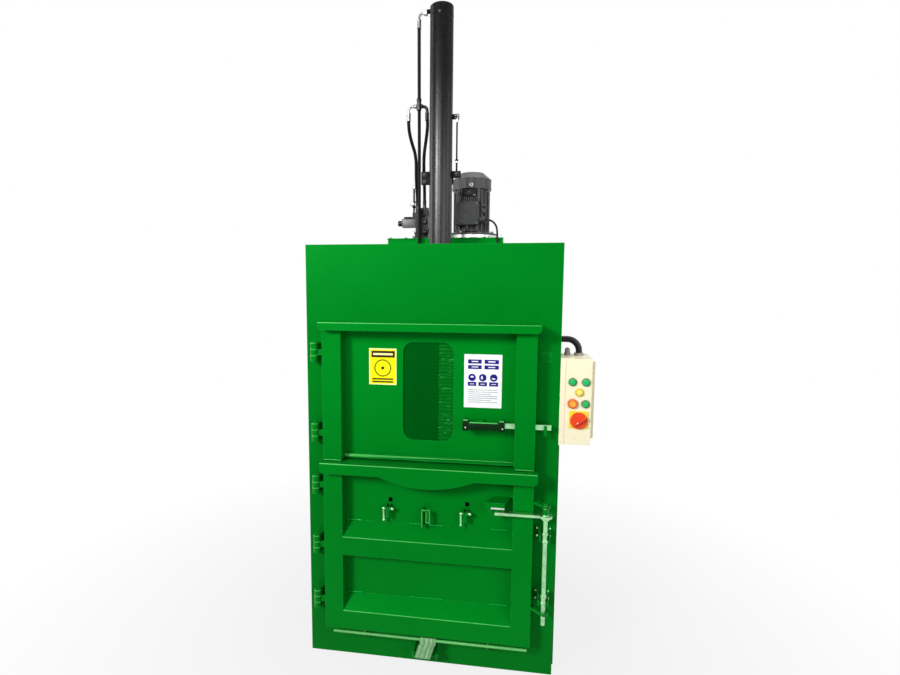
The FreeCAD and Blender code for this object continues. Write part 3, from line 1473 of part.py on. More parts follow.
box_x = (box_left, box_left + d.box_wide)
box_z = (d.box_low, d.box_high)
lid_back = front + d.box_wall


def control_box():
    """A sheet box with a flange along its right side and a hole for the conduit."""
    wall = d.box_wall
    piece = Piece("control_box")
    inner = rectangle((box_x[0] + wall, box_x[1] - wall), (box_z[0] + wall, box_z[1] - wall))
    piece.pad("XZ", (lid_back, front + d.box_deep), rectangle(box_x, box_z), inner)
    piece.pad("XZ", (front + d.box_deep - wall, front + d.box_deep), rectangle(box_x, box_z))
    piece.pad("XZ", (front + 14, front + 14 + wall * 2),
              rectangle((box_x[1], box_x[1] + d.box_flange), (box_z[0] + 26, box_z[1] - 11)))
    piece.cut("XY", (box_z[1] - wall - 1, box_z[1] + 1), (conduit_x, d.conduit_y, d.conduit_round - 3))
    return piece.body


def box_lid():
    """The lid with the bezels of the buttons and the plate of the isolator."""
    hole = d.button_round + d.free_gap
    piece = Piece("box_lid")
    places = ((left_column, d.upper_row), (right_column, d.upper_row), (right_column, d.lower_row))
    holes = [(x, z, hole) for x, z in places]
    stop_hole = d.stop_round - 4 + d.free_gap
    stop = (stop_column, d.lower_row)
    piece.pad("XZ", (front, lid_back), rectangle(box_x, box_z), *holes, (*stop, stop_hole),
              (knob_x, d.knob_z, 6 + d.running_gap))
    for x, z in places:
        piece.pad("XZ", (front - d.bezel_out, front), (x, z, d.bezel_round), (x, z, hole))
    piece.pad("XZ", (front - d.bezel_out - 2, front), (*stop, d.stop_round), (*stop, stop_hole))
    left = knob_x - 35.5
    low = d.knob_z - 30
    piece.pad("XZ", (front - d.switch_thick, front),
              rectangle((left, left + d.switch_wide), (low, low + d.switch_tall)),
              (knob_x, d.knob_z, 6 + d.running_gap))
    return piece.body


def push_button(label, x, z, radius, out):
    """A cap with a slightly crowned front; it slides into its bezel."""
    piece = Piece(label)
    piece.turn((0, 0), (radius, 0), (radius, 12 + out - 1.5), (radius - 2, 12 + out), (0, 12 + out + 1))
    return piece.place(x, front + 12, z, Rotation(Vector(1, 0, 0), 90))


def signal_lamp():
    piece = Piece("signal_lamp")
    base = d.bezel_round
    piece.turn((0, 0), (base, 0), (base, 4), (base - 3, 5), (base - 5, 11), (0, 15))
    return piece.place(lamp_x, front, d.lamp_z, Rotation(Vector(1, 0, 0), 90))


def isolator_knob():
    """A round disc with a raised grip across it, on a spindle through the lid."""
    piece = Piece("isolator_knob")
    piece.turn((0, -14), (6, -14), (6, 0), (d.knob_round, 0), (d.knob_round, 5),
               (d.knob_round - 2, 9), (0, 9))
    long = d.grip_long / 2
    wide = d.grip_wide / 2
    piece.pad("XY", (9, 21), [(4 - long, -wide), (long - 4, -wide), (long, 0, "arc"),
                              (long - 4, wide), (4 - long, wide), (-long, 0, "arc")])
    front_turn = Rotation(Vector(1, 0, 0), 90)
    grip_turn = Rotation(Vector(0, 0, 1), d.grip_turn.value)
    return piece.place(knob_x, front - d.switch_thick, d.knob_z, front_turn.multiply(grip_turn))


def box_glands():
    """The nut of the conduit, and a grey gland beside it."""
    x, y = conduit_x, d.conduit_y
    z = (d.box_high, d.box_high + 10)
    nut = cut(rod("z", (x, y), d.conduit_round + 5, z), rod("z", (x, y), d.conduit_round, z))
    beside = x - 44
    gland = fused(rod("z", (beside, y), 12, z), rod("z", (beside, y), 10, (z[1], z[1] + 10)),
                  ball(beside, y, z[1] + 10, 10))
    return group(nut, gland)


# ---- the whole ----------------------------------------------------------------------------

BUILDERS = {
    "front_plate": front_plate, "back_wall": back_wall, "chamber_floor": chamber_floor,
    "base_skids": base_skids, "top_deck": top_deck, "cylinder_barrel": cylinder_barrel,
    "cylinder_cap": cylinder_cap, "rod_gland": rod_gland, "piston_rod": piston_rod, "platen": platen,
    "hinge_knuckles": hinge_knuckles, "hinge_pins": hinge_pins,
    "upper_door_frame": upper_door_frame, "upper_door_panel": upper_door_panel,
    "window_pane": window_pane, "window_comb": window_comb, "latch_bar": latch_bar,
    "latch_handle": latch_handle, "lower_door_frame": lower_door_frame,
    "lower_door_panel": lower_door_panel, "rail_slopes": rail_slopes, "lock_lugs": lock_lugs,
    "strap_brackets": strap_brackets, "lock_rod": lock_rod, "lock_lever": lock_lever,
    "rod_saddles": rod_saddles, "strap_rail": strap_rail, "strap_bracket": strap_bracket,
    "ejector_strap": ejector_strap, "oil_tank": oil_tank, "tank_lid": tank_lid,
    "tank_breather": tank_breather, "oil_pump": oil_pump, "motor_body": motor_body,
    "fan_cowl": fan_cowl, "motor_shaft": motor_shaft, "cooling_fan": cooling_fan,
    "terminal_box": terminal_box, "valve_block": valve_block, "valve_solenoid": valve_solenoid,
    "barrel_collar": barrel_collar, "hose_fittings": hose_fittings, "control_conduit": conduit,
    "control_box": control_box, "box_lid": box_lid, "signal_lamp": signal_lamp,
    "isolator_knob": isolator_knob, "box_glands": box_glands,
}

for name, builder in BUILDERS.items():
    node(name, builder())
node("left_wall", side_wall("left_wall", -1))
node("right_wall", side_wall("right_wall", 1))
node("brake_lever_left", brake_lever(d.strap_left))
node("brake_lever_right", brake_lever(d.strap_right))
node("button_up", push_button("button_up", left_column, d.upper_row, d.button_round, d.button_out))
node("button_down", push_button("button_down", right_column, d.upper_row, d.button_round, d.button_out))
node("button_start", push_button("button_start", right_column, d.lower_row, d.button_round, d.button_out))
node("stop_button", push_button("stop_button", stop_column, d.lower_row, d.stop_round - 4, 14))
node("pressure_hose", hose("pressure_hose", PRESSURE_ROUTE, d.hose_round.value))
node("return_hose", hose("return_hose", RETURN_ROUTE, d.hose_round.value))
node("link_hose", hose("link_hose", LINK_ROUTE, d.hose_round.value))
node("motor_cable", hose("motor_cable", CABLE_ROUTE, d.cable_round.value))

doc.recompute()
for thing in doc.Objects:
    if "Invalid" in thing.State or "Error" in thing.State:
        raise RuntimeError(f"{thing.Name} ({thing.Label}) failed: {thing.State}")
os.makedirs("parts", exist_ok=True)
for name, thing in nodes.items():
    if thing.Shape.isNull() or not thing.Shape.isValid():
        raise RuntimeError(f"{name} has no valid shape")
    thing.Shape.exportStep(f"parts/{name}.step")
print(len(nodes), "nodes")
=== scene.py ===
"""Looks of the recycling baler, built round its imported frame.

Blender works in metres in the frame of the CAD part: Z up, the plate's face at y = -0.320 and the
doors towards -Y. The solids below are written in millimetres in that same frame.
"""

import random
from math import cos, dist, pi, radians, sin, sqrt

import bmesh
import bpy
from mathutils import Matrix, Vector


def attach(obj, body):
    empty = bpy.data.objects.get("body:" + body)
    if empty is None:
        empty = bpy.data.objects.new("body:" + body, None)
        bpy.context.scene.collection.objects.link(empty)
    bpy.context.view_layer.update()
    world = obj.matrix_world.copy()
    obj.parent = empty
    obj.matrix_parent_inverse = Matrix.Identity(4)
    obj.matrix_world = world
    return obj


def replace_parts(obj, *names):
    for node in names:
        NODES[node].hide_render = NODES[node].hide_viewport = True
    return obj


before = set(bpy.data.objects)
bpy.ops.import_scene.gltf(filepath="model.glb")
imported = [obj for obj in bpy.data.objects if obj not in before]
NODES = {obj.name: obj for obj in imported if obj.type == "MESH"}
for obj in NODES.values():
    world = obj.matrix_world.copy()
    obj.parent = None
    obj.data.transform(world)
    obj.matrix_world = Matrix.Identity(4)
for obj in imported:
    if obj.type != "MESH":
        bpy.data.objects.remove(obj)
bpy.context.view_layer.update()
random.seed(11)

MM = 0.001
PLATE = -320            # face of the front plate
SHEET = -330            # face of the door sheets
POST = -380             # face of the door posts
RAIL = -415             # face of the door rails
WALL = 384              # outer face of the chamber's side walls
BACK = 324              # outer face of the back wall
REAR_CHANNELS = (-228, 228)             # middles of the two channels on the back
CHANNEL_EDGE = 30.5                     # from such a middle to the seam beside it
HINGES = (1286, 961, 745, 492, 256)     # heights of the five hinges
HINGE_X = -457                          # axis of their pins
SADDLES = ((575, 623), (319, 367))      # foot and head of the lock rod's two saddles
LOCK = (453, -400)                      # axis of the lock rod
LID = -320                              # face of the control box
BUTTONS = ((545, 1191.4), (594.5, 1191.4), (594.5, 1108.5))     # centres (x, z) on its lid
STOP = (547.5, 1108.5)
LAMP = (571.2, 1151.8)
KNOB = (572.2, 1043.9)
MOTOR = (117, 300)                      # axis of the motor
TANK_X = (-273, 270)                    # sides of the oil tank
TANK_Y = (180, 440)                     # its front and back
TANK_TOP = 1776                         # top of its lid
DECK_Z = 1608                           # top of the shelf it stands on
CAP_TOP = 2722                          # top of the cylinder
SEAM_Z = 2681                           # between the cylinder's barrel and its cap
BARREL_ROUND = 50                       # radius of the barrel
TINY = 1e-6
BODY = "machine"


# ---- camera, light and floor ----

def in_scene(name, data):
    made = bpy.data.objects.new(name, data)
    bpy.context.scene.collection.objects.link(made)
    return made


def place_camera():
    """The photograph's eye point: above the loading door, right of the middle, looking down."""
    yaw, pitch, roll = 0.15382, 0.10279, 0.00429
    level = Vector((cos(yaw), sin(yaw), 0))
    ahead = Vector((-sin(yaw), cos(yaw), 0))
    up = Vector((0, 0, 1))
    forward = ahead * cos(pitch) - up * sin(pitch)
    raised = up * cos(pitch) + ahead * sin(pitch)
    right = level * cos(roll) + raised * sin(roll)
    top = raised * cos(roll) - level * sin(roll)
    data = bpy.data.cameras.new("camera")
    data.sensor_width = 36
    data.lens = 21.377
    data.shift_x = 0.0317
    data.shift_y = 0.0050
    data.clip_end = 60
    camera = in_scene("camera", data)
    turned = Matrix((right, top, -forward)).transposed().to_4x4()
    camera.matrix_world = Matrix.Translation((0.28626, -2.37256, 1.54530)) @ turned
    bpy.context.scene.camera = camera


def area_lamp(name, place, target, size, power, spread=180):
    data = bpy.data.lights.new(name, "AREA")
    data.shape = "RECTANGLE"
    data.size, data.size_y = size
    data.energy = power
    data.spread = radians(spread)
    lamp = in_scene(name, data)
    lamp.location = place
    lamp.rotation_euler = (Vector(target) - Vector(place)).to_track_quat("-Z", "Y").to_euler()


def bare_tree(owner):
    owner.use_nodes = True
    owner.node_tree.nodes.clear()
    return owner.node_tree


def add(tree, kind, inputs=None, **settings):
    """One shader node; its inputs are plain values or other nodes' sockets."""
    made = tree.nodes.new("ShaderNode" + kind)
    for key, value in settings.items():
        setattr(made, key, value)
    for key, value in (inputs or {}).items():
        socket = made.inputs[key]
        if isinstance(value, bpy.types.NodeSocket):
            tree.links.new(value, socket)
        else:
            socket.default_value = value
    return made


def seen_directly(tree):
    """1 for rays from the camera, a mirror or through glass, 0 for the light on surfaces."""
    path = add(tree, "LightPath")
    seen = path.outputs["Is Camera Ray"]
    for name in ("Is Glossy Ray", "Is Transmission Ray"):
        seen = add(tree, "Math", {0: seen, 1: path.outputs[name]}, operation="MAXIMUM").outputs[0]
    return seen


def light_world():
    world = bpy.data.worlds.new("studio")
    bpy.context.scene.world = world
    tree = bare_tree(world)
    soft = add(tree, "Background", {"Color": (0.94, 0.97, 1, 1), "Strength": 0.22})
    white = add(tree, "Background", {"Color": (1, 1, 1, 1), "Strength": 1.0})
    both = add(tree, "MixShader", {0: seen_directly(tree), 1: soft.outputs[0], 2: white.outputs[0]})
    add(tree, "OutputWorld", {"Surface": both.outputs[0]})


def lay_floor():
    """A pale floor, white to the eye, that keeps the shadow round the foot of the machine."""
    half = 9.0
    mesh = bpy.data.meshes.new("floor")
    mesh.from_pydata([(-half, -half, 0), (half, -half, 0), (half, half, 0), (-half, half, 0)], [],
                     [(0, 1, 2, 3)])
    floor = in_scene("floor", mesh)
    material = bpy.data.materials.new("floor")
    tree = bare_tree(material)
    pale = add(tree, "BsdfDiffuse", {"Color": (0.34, 0.34, 0.34, 1)})
    glow = add(tree, "Emission", {"Color": (1, 1, 1, 1), "Strength": 1.0})
    away = add(tree, "VectorMath", {0: on_part(tree)}, operation="LENGTH").outputs["Value"]
    white = between(tree, away, 0.84, 1.0, 0.7, 2.2)
    share = worked(tree, "MULTIPLY", seen_directly(tree), white)
    both = add(tree, "MixShader", {0: share, 1: pale.outputs[0], 2: glow.outputs[0]})
    add(tree, "OutputMaterial", {"Surface": both.outputs[0]})
    floor.data.materials.append(material)


# ---- materials ----

GREEN = (0.0, 0.190, 0.0115)
# pale green of the highlight painted along the machine's edges
HIGHLIGHT_GREEN = (0.03, 0.50, 0.09)
GREEN_GLOSS = (0.01, 1.0, 0.10)


def scaled(colour, factor):
    return tuple(min(1, max(0, c * factor)) for c in colour[:3]) + (1,)


def grain(tree, scale, detail=4, stretch=(1, 1, 1), shift=(0, 0, 0)):
    """Noise fixed to the part, with `scale` features a metre, drawn out along an axis by stretch."""
    placed = add(tree, "Mapping", {"Vector": on_part(tree), "Scale": stretch, "Location": shift})
    made = add(tree, "TexNoise", {"Vector": placed.outputs[0], "Scale": scale, "Detail": detail})
    return made.outputs["Fac"]


def on_part(tree):
    """Coordinates fixed to the part, in metres."""
    return add(tree, "TexCoord").outputs["Object"]


def softened(tree, radius, samples=4):
    """The surface's normal, rounded over along sharp edges."""
    return add(tree, "Bevel", {"Radius": radius}, samples=samples).outputs["Normal"]


def between(tree, value, low, high, start=0.3, stop=0.7):
    made = add(tree, "MapRange", {"Value": value, "From Min": start, "From Max": stop,
                                  "To Min": low, "To Max": high})
    return made.outputs["Result"]


def blended(tree, share, first, second):
    return add(tree, "Mix", {0: share, 6: first, 7: second}, data_type="RGBA").outputs[2]


def worked(tree, operation, first, second):
    return add(tree, "Math", {0: first, 1: second}, operation=operation).outputs[0]


def mottled(tree, first, second, scale, detail, start=0.3, stop=0.7, stretch=(1, 1, 1)):
    """One colour with clouds or flecks of another."""
    share = between(tree, grain(tree, scale, detail, stretch), 0, 1, start, stop)
    return blended(tree, share, first, second)


def edges(tree, width):
    """1 along the edges of the form within about `width` metres, 0 on its faces."""
    soft = softened(tree, width, 6)
    flat = add(tree, "NewGeometry").outputs["Normal"]
    alike = add(tree, "VectorMath", {0: soft, 1: flat}, operation="DOT_PRODUCT").outputs["Value"]
    return between(tree, alike, 0, 1, 0.995, 0.90)


def surface(name, rough, metal=0.0, specular=0.5):
    material = bpy.data.materials.new(name)
    tree = bare_tree(material)
    shader = add(tree, "BsdfPrincipled", {"Roughness": rough, "Metallic": metal,
                                         "Specular IOR Level": specular})
    add(tree, "OutputMaterial", {"Surface": shader.outputs[0]})
    return material, tree, shader


def link(tree, shader, **sockets):
    for name, value in sockets.items():
        tree.links.new(value, shader.inputs[name.replace("_", " ")])


def raised(tree, height, strength, distance, normal=None):
    inputs = {"Height": height, "Strength": strength, "Distance": distance}
    if normal is not None:
        inputs["Normal"] = normal
    return add(tree, "Bump", inputs).outputs["Normal"]


def paint(name, colour, rough=0.42, specular=0.25, tone=0.14, peel=0.25, edge_highlight=None, edge_highlight_strength=0.5,
          dust=0.0, gloss=(1, 1, 1)):
    """Sprayed paint: cloudy tone, orange peel, and a painted highlight along its softened edges, broken up
    by noise.
    """
    material, tree, shader = surface(name, rough, specular=specular)
    shader.inputs["Specular Tint"].default_value = gloss + (1,)
    tint = mottled(tree, scaled(colour, 1 - tone), scaled(colour, 1 + tone), 1.6, 5)
    speck = blended(tree, 0.5, tint, scaled(colour, 0.72))
    tint = mottled(tree, tint, speck, 260, 2, 0.35, 0.65)
    if dust:
        grey = between(tree, grain(tree, 620, 2, shift=(3, 1, 2)), 0, dust, 0.62, 0.72)
        tint = blended(tree, grey, tint, (0.32, 0.33, 0.35, 1))
    # painted highlight: the edge colour laid along the edges, broken up by noise
    if edge_highlight:
        painted_highlight = worked(tree, "MULTIPLY", edges(tree, 0.0026),
                        between(tree, grain(tree, 22, 5), 0.25 * edge_highlight_strength, edge_highlight_strength))
        tint = blended(tree, painted_highlight, tint, edge_highlight + (1,))
    sheen = between(tree, grain(tree, 7, 4, shift=(5, 5, 5)), rough * 0.82, rough * 1.22)
    skin = raised(tree, grain(tree, 330, 2), peel, 0.0004, softened(tree, 0.0016))
    link(tree, shader, Base_Color=tint, Roughness=sheen, Normal=skin)
    return material


def steel(name, colour, rough=0.28, spots=0.2):
    """Bright plated or machined steel with fine drawn lines and dull spots."""
    material, tree, shader = surface(name, rough, metal=1.0)
    lines = grain(tree, 420, 3)
    dull = between(tree, grain(tree, 45, 5), 0, 1, 0.45, 0.7)
    tint = blended(tree, dull, scaled(colour, 1.05), scaled(colour, 1 - spots))
    matt = worked(tree, "ADD", between(tree, lines, rough * 0.75, rough * 1.15),
                  worked(tree, "MULTIPLY", dull, 0.12))
    link(tree, shader, Base_Color=tint, Roughness=matt,
         Normal=raised(tree, lines, 0.12, 0.0003, softened(tree, 0.0012)))
    return material


def plastic(name, colour, rough=0.32, specular=0.4, grainy=0.12):
    """Moulded plastic: fine spark grain, slightly uneven colour and sheen."""
    material, tree, shader = surface(name, rough, specular=specular)
    tint = mottled(tree, scaled(colour, 0.90), scaled(colour, 1.06), 30, 4)
    sheen = between(tree, grain(tree, 90, 3), rough * 0.8, rough * 1.25)
    link(tree, shader, Base_Color=tint, Roughness=sheen,
         Normal=raised(tree, grain(tree, 1500, 1), grainy, 0.0002, softened(tree, 0.0008)))
    return material


def printed(name, colour, specular=0.15, rough=0.4):
    """Smooth print or foil."""
    return plastic(name, colour, rough, specular, grainy=0.04)


def rubber(name, colour, lines_a_metre=0, axis="Z"):
    """Hose rubber with the faint cloth-wrap rings it is cured in."""
    material, tree, shader = surface(name, 0.45, specular=0.12)
    tint = mottled(tree, scaled(colour, 1), scaled(colour, 1.9), 60, 5, 0.45, 0.75)
    height = grain(tree, 900, 2)
    if lines_a_metre:
        wrap = add(tree, "TexWave", {"Vector": on_part(tree), "Scale": lines_a_metre,
                                     "Distortion": 0.6}, bands_direction=axis)
        height = worked(tree, "ADD", worked(tree, "MULTIPLY", height, 0.4), wrap.outputs["Fac"])
    link(tree, shader, Base_Color=tint, Normal=raised(tree, height, 0.3, 0.0004))
    return material


def streaked_comb(name):
    """Ribbed strip behind the window, with pale streaks painted across its ribs as highlights."""
    material, tree, shader = surface(name, 0.42, specular=0.12)
    shader.inputs["Specular Tint"].default_value = GREEN_GLOSS + (1,)
    # pale green streaks painted as highlights on the ribs
    tint = mottled(tree, (0.0015, 0.150, 0.010, 1), (0.04, 0.36, 0.08, 1), 95, 6, 0.60, 0.70,
                   (0.45, 1, 1.9))
    link(tree, shader, Base_Color=tint, Normal=raised(tree, grain(tree, 240, 4), 0.3, 0.0005))
    return material


def tinted_pane(name):
    """Green sheet, painted dark for the shade behind the window, scuffed matt by years of loading."""
    material, tree, shader = surface(name, 0.5, specular=0.08)
    shader.inputs["Specular Tint"].default_value = GREEN_GLOSS + (1,)
    # the dark green is painted shade
    tint = mottled(tree, (0.0, 0.070, 0.0045, 1), (0.0, 0.084, 0.0055, 1), 9, 5,
                   stretch=(1, 1, 0.6))
    scratch = between(tree, grain(tree, 70, 6, (2, 1, 0.6)), 0.40, 0.60, 0.4, 0.7)
    link(tree, shader, Base_Color=tint, Roughness=scratch)
    return material


def web_cloth(name):
    """Flat woven webbing: lengthwise stripes and a fine plain weave."""
    material, tree, shader = surface(name, 0.85, specular=0.15)
    where = add(tree, "UVMap").outputs["UV"]
    across = add(tree, "TexWave", {"Vector": where, "Scale": 1.1, "Distortion": 0.15},
                 bands_direction="X", wave_profile="SIN")
    warp = add(tree, "TexWave", {"Vector": where, "Scale": 7.5}, bands_direction="X")
    weft = add(tree, "TexWave", {"Vector": where, "Scale": 22.0}, bands_direction="Y")
    soil = between(tree, grain(tree, 50, 5), 0, 0.45, 0.45, 0.7)
    tint = blended(tree, between(tree, across.outputs["Fac"], 0, 1, 0.35, 0.65),
                   (0.20, 0.46, 0.19, 1), (0.38, 0.64, 0.36, 1))
    tint = blended(tree, soil, tint, (0.10, 0.30, 0.10, 1))
    weave = worked(tree, "MULTIPLY", warp.outputs["Fac"], weft.outputs["Fac"])
    link(tree, shader, Base_Color=tint, Normal=raised(tree, weave, 0.8, 0.0006))
    return material


def lens(name, centre, inner, outer, radius, glow):
    """A domed plastic lens or cap, paler in its middle, with a faint glow; on the stop cap, which is no
    lamp, the glow is painted light.
    """
    material, tree, shader = surface(name, 0.2, specular=0.45)
    placed = add(tree, "Mapping", {"Vector": on_part(tree),
                                   "Location": tuple(-c * MM for c in centre)})
    away = add(tree, "VectorMath", {0: placed.outputs[0]}, operation="LENGTH").outputs["Value"]
    share = between(tree, away, 0, 1, radius * MM * 0.35, radius * MM)
    tint = blended(tree, share, inner + (1,), outer + (1,))
    # faint glow; on the stop cap it is painted light
    shader.inputs["Emission Strength"].default_value = glow
    link(tree, shader, Base_Color=tint, Emission_Color=tint)
    return material


def machine_green(name, factor=1.0):
    """The machine's green enamel, darker or brighter by factor, with a painted highlight along its edges.
    """
    return paint(name, scaled(GREEN, factor), rough=0.38, specular=0.35, edge_highlight=HIGHLIGHT_GREEN, edge_highlight_strength=0.6,
                 gloss=GREEN_GLOSS)


def black_enamel(name, rough, specular):
    # a slightly lighter grey painted along the edges as a highlight
    return paint(name, (0.0040, 0.0040, 0.0043), rough, specular, dust=0.35, peel=0.5,
                 edge_highlight=(0.05, 0.05, 0.055), edge_highlight_strength=0.3)


def barrel_paint(name):
    """Black enamel, matt at the head of the cylinder and polished lower down by hands and rags."""
    material = black_enamel(name, 0.28, 0.13)
    tree = material.node_tree
    shader = next(n for n in tree.nodes if n.type == "BSDF_PRINCIPLED")
    height = add(tree, "SeparateXYZ", {0: on_part(tree)}).outputs["Z"]
    link(tree, shader, Specular_IOR_Level=between(tree, height, 0.38, 0.075, 2.00, 2.45))
    return material


LOOK = {
    "green": machine_green("green_paint"),
    # weld beads painted a brighter green than the machine's enamel, as a painted highlight
    "weld": paint("weld_highlight_paint", (0.0, 0.30, 0.03), rough=0.26, specular=0.6, peel=0.3,
                  gloss=(0.1, 1.0, 0.25)),
    "black": black_enamel("black_paint", 0.27, 0.16),
    "plate_green": machine_green("plate_paint", 0.88),
    "door_green": machine_green("door_paint", 1.05),
    "barrel": barrel_paint("barrel_paint"),
    # pale grey painted along the motor's edges as a highlight
    "motor": paint("motor_paint", (0.050, 0.051, 0.054), rough=0.40, specular=0.40, dust=0.35,
                   edge_highlight=(0.42, 0.43, 0.45), edge_highlight_strength=0.8),
    # grey painted along the terminal box's edges as a highlight
    "motor_box": paint("terminal_paint", (0.034, 0.035, 0.037), rough=0.5, specular=0.4, dust=0.25,
                       edge_highlight=(0.22, 0.22, 0.24), edge_highlight_strength=0.5),
    # pale green for lines painted as highlights along edges
    "painted_highlight": paint("painted_highlight_edge", (0.10, 0.62, 0.13), rough=0.4, specular=0.5, tone=0.25,
                    gloss=(0.3, 1.0, 0.4)),
    "rail_bar": paint("bar_paint", (0.14, 0.50, 0.14), rough=0.35, specular=0.4, tone=0.3,
                      gloss=(0.4, 1.0, 0.5)),
    "grip": plastic("grip_plastic", (0.0015, 0.018, 0.003), rough=0.45, specular=0.08),
    "pale_mark": printed("mark_white", (0.90, 0.88, 0.84), 0.4),
    "pale_yellow": printed("edge_yellow", (0.90, 0.95, 0.40), 0.12),
    "fold": printed("fold_shadow", (0.72, 0.50, 0.40), 0.1, 0.5),
    "lamp": lens("lamp_lens", (LAMP[0], -333, LAMP[1]), (0.98, 0.78, 0.16), (0.82, 0.52, 0.03), 14, 0.03),
    "stop": lens("stop_cap", (STOP[0], -334, STOP[1]), (0.95, 0.42, 0.03), (0.80, 0.15, 0.015), 15, 0.03),
    # pale grey for the nameplate's marks and for highlight rings painted on the cowl's rims
    "pale_grey_marks_and_highlights": paint("pale_grey_marks_and_highlights", (0.30, 0.31, 0.32), rough=0.4, specular=0.4, tone=0.5),
    "oil_tube": plastic("oil_tube", (0.30, 0.20, 0.03), rough=0.12, specular=0.5),
    "cream": paint("cream_paint", (0.985, 0.92, 0.65), rough=0.4, specular=0.3, tone=0.02, peel=0.2),
    "plated": steel("plated_steel", (0.38, 0.72, 0.39), rough=0.34, spots=0.3),
    "silver": steel("zinc_steel", (0.78, 0.78, 0.77), rough=0.26, spots=0.3),
    "fitting": steel("fitting_steel", (0.30, 0.30, 0.30), rough=0.28, spots=0.35),
    "bright": steel("bright_steel", (0.70, 0.70, 0.69), rough=0.34, spots=0.25),
    # pale grey painted along the coil jacket's edges as a highlight
    "coil": paint("coil_jacket", (0.115, 0.116, 0.12), rough=0.4, specular=0.5, dust=0.2,
                  edge_highlight=(0.55, 0.56, 0.58), edge_highlight_strength=0.8),
    "black_fitting": plastic("black_fitting", (0.005, 0.005, 0.0055), rough=0.3, specular=0.22),
    "matt_black": plastic("matt_black", (0.003, 0.003, 0.003), rough=0.5, specular=0.08),
    "gap": plastic("shadow_gap", (0.002, 0.002, 0.002), rough=0.7, specular=0.1),
    "chrome": steel("chrome_rod", (0.86, 0.87, 0.88), rough=0.09, spots=0.04),
    "dark_steel": steel("oxide_steel", (0.10, 0.10, 0.105), rough=0.38, spots=0.3),
    "hose": rubber("hose_rubber", (0.0028, 0.0028, 0.003), 260, "DIAGONAL"),
    "cable": rubber("cable_rubber", (0.012, 0.012, 0.013)),
    "conduit": plastic("conduit_plastic", (0.007, 0.0065, 0.007), rough=0.26, specular=0.35),
    "black_plastic": plastic("black_plastic", (0.006, 0.0065, 0.0065), rough=0.34, specular=0.25),
    "grey_plastic": plastic("gland_plastic", (0.36, 0.30, 0.29), rough=0.4),
    "green_plastic": plastic("button_green", (0.0, 0.50, 0.11), rough=0.25),
    "ring_green": plastic("button_ring", (0.0, 0.14, 0.03), rough=0.3),
    "ring_orange": plastic("stop_ring", (0.80, 0.10, 0.012), rough=0.28),
    "ring_yellow": plastic("lamp_ring", (0.72, 0.56, 0.05), rough=0.28),
    "red_plastic": plastic("knob_red", (0.80, 0.060, 0.016), rough=0.36, specular=0.3),
    "yellow_plastic": plastic("plate_yellow", (0.95, 0.70, 0.03), rough=0.4),
    "yellow_sticker": printed("sticker_yellow", (0.95, 0.86, 0.004), 0.12),
    "white_sticker": printed("sticker_white", (0.93, 0.94, 0.95), 0.2),
    "blue_ink": printed("ink_blue", (0.016, 0.008, 0.22)),
    "grey_ink": printed("ink_grey", (0.36, 0.36, 0.40), 0.4, 0.34),
    "dark_ink": printed("ink_dark", (0.035, 0.014, 0.003)),
    "comb": streaked_comb("comb_plastic"),
    "pane": tinted_pane("tinted_pane"),
    "webbing": web_cloth("webbing"),
}


# the looks of the frame's own solids
WORN_BY = {
    "plate_green": "front_plate",
    "door_green": "upper_door_panel lower_door_panel lower_door_frame",
    "green": "left_wall right_wall back_wall chamber_floor base_skids top_deck hinge_knuckles "
             "rod_saddles strap_bracket oil_tank tank_lid platen upper_door_frame rail_slopes "
             "lock_lugs strap_brackets hinge_pins",
    "barrel": "cylinder_barrel cylinder_cap",
    "matt_black": "barrel_collar",
    "black": "rod_gland valve_block oil_pump",
    "motor": "motor_body fan_cowl",
    "motor_box": "terminal_box",
    "plated": "latch_bar lock_rod lock_lever brake_lever_left brake_lever_right",
    "rail_bar": "strap_rail",
    "lamp": "signal_lamp",
    "stop": "stop_button",
    "silver": "motor_shaft",
    "chrome": "piston_rod",
    "conduit": "control_conduit",
    "black_plastic": "cooling_fan",
    "black_fitting": "valve_solenoid",
    "bright": "tank_breather",
    "grey_plastic": "box_glands",
    "comb": "window_comb",
    "pane": "window_pane",
    "cream": "control_box box_lid",
    "red_plastic": "isolator_knob",
    "green_plastic": "button_up button_down button_start",
}


def dress_nodes():
    """Gives the frame's own solids their looks; their shapes stay as they are."""
    for look, names in WORN_BY.items():
        for name in names.split():
            for place in NODES[name].material_slots:
                place.material = LOOK[look]


# ---- solids ----

AXES = {"x": (1, 0, 0), "y": (0, 1, 0), "z": (0, 0, 1), "-x": (-1, 0, 0), "-y": (0, -1, 0),
        "-z": (0, 0, -1)}


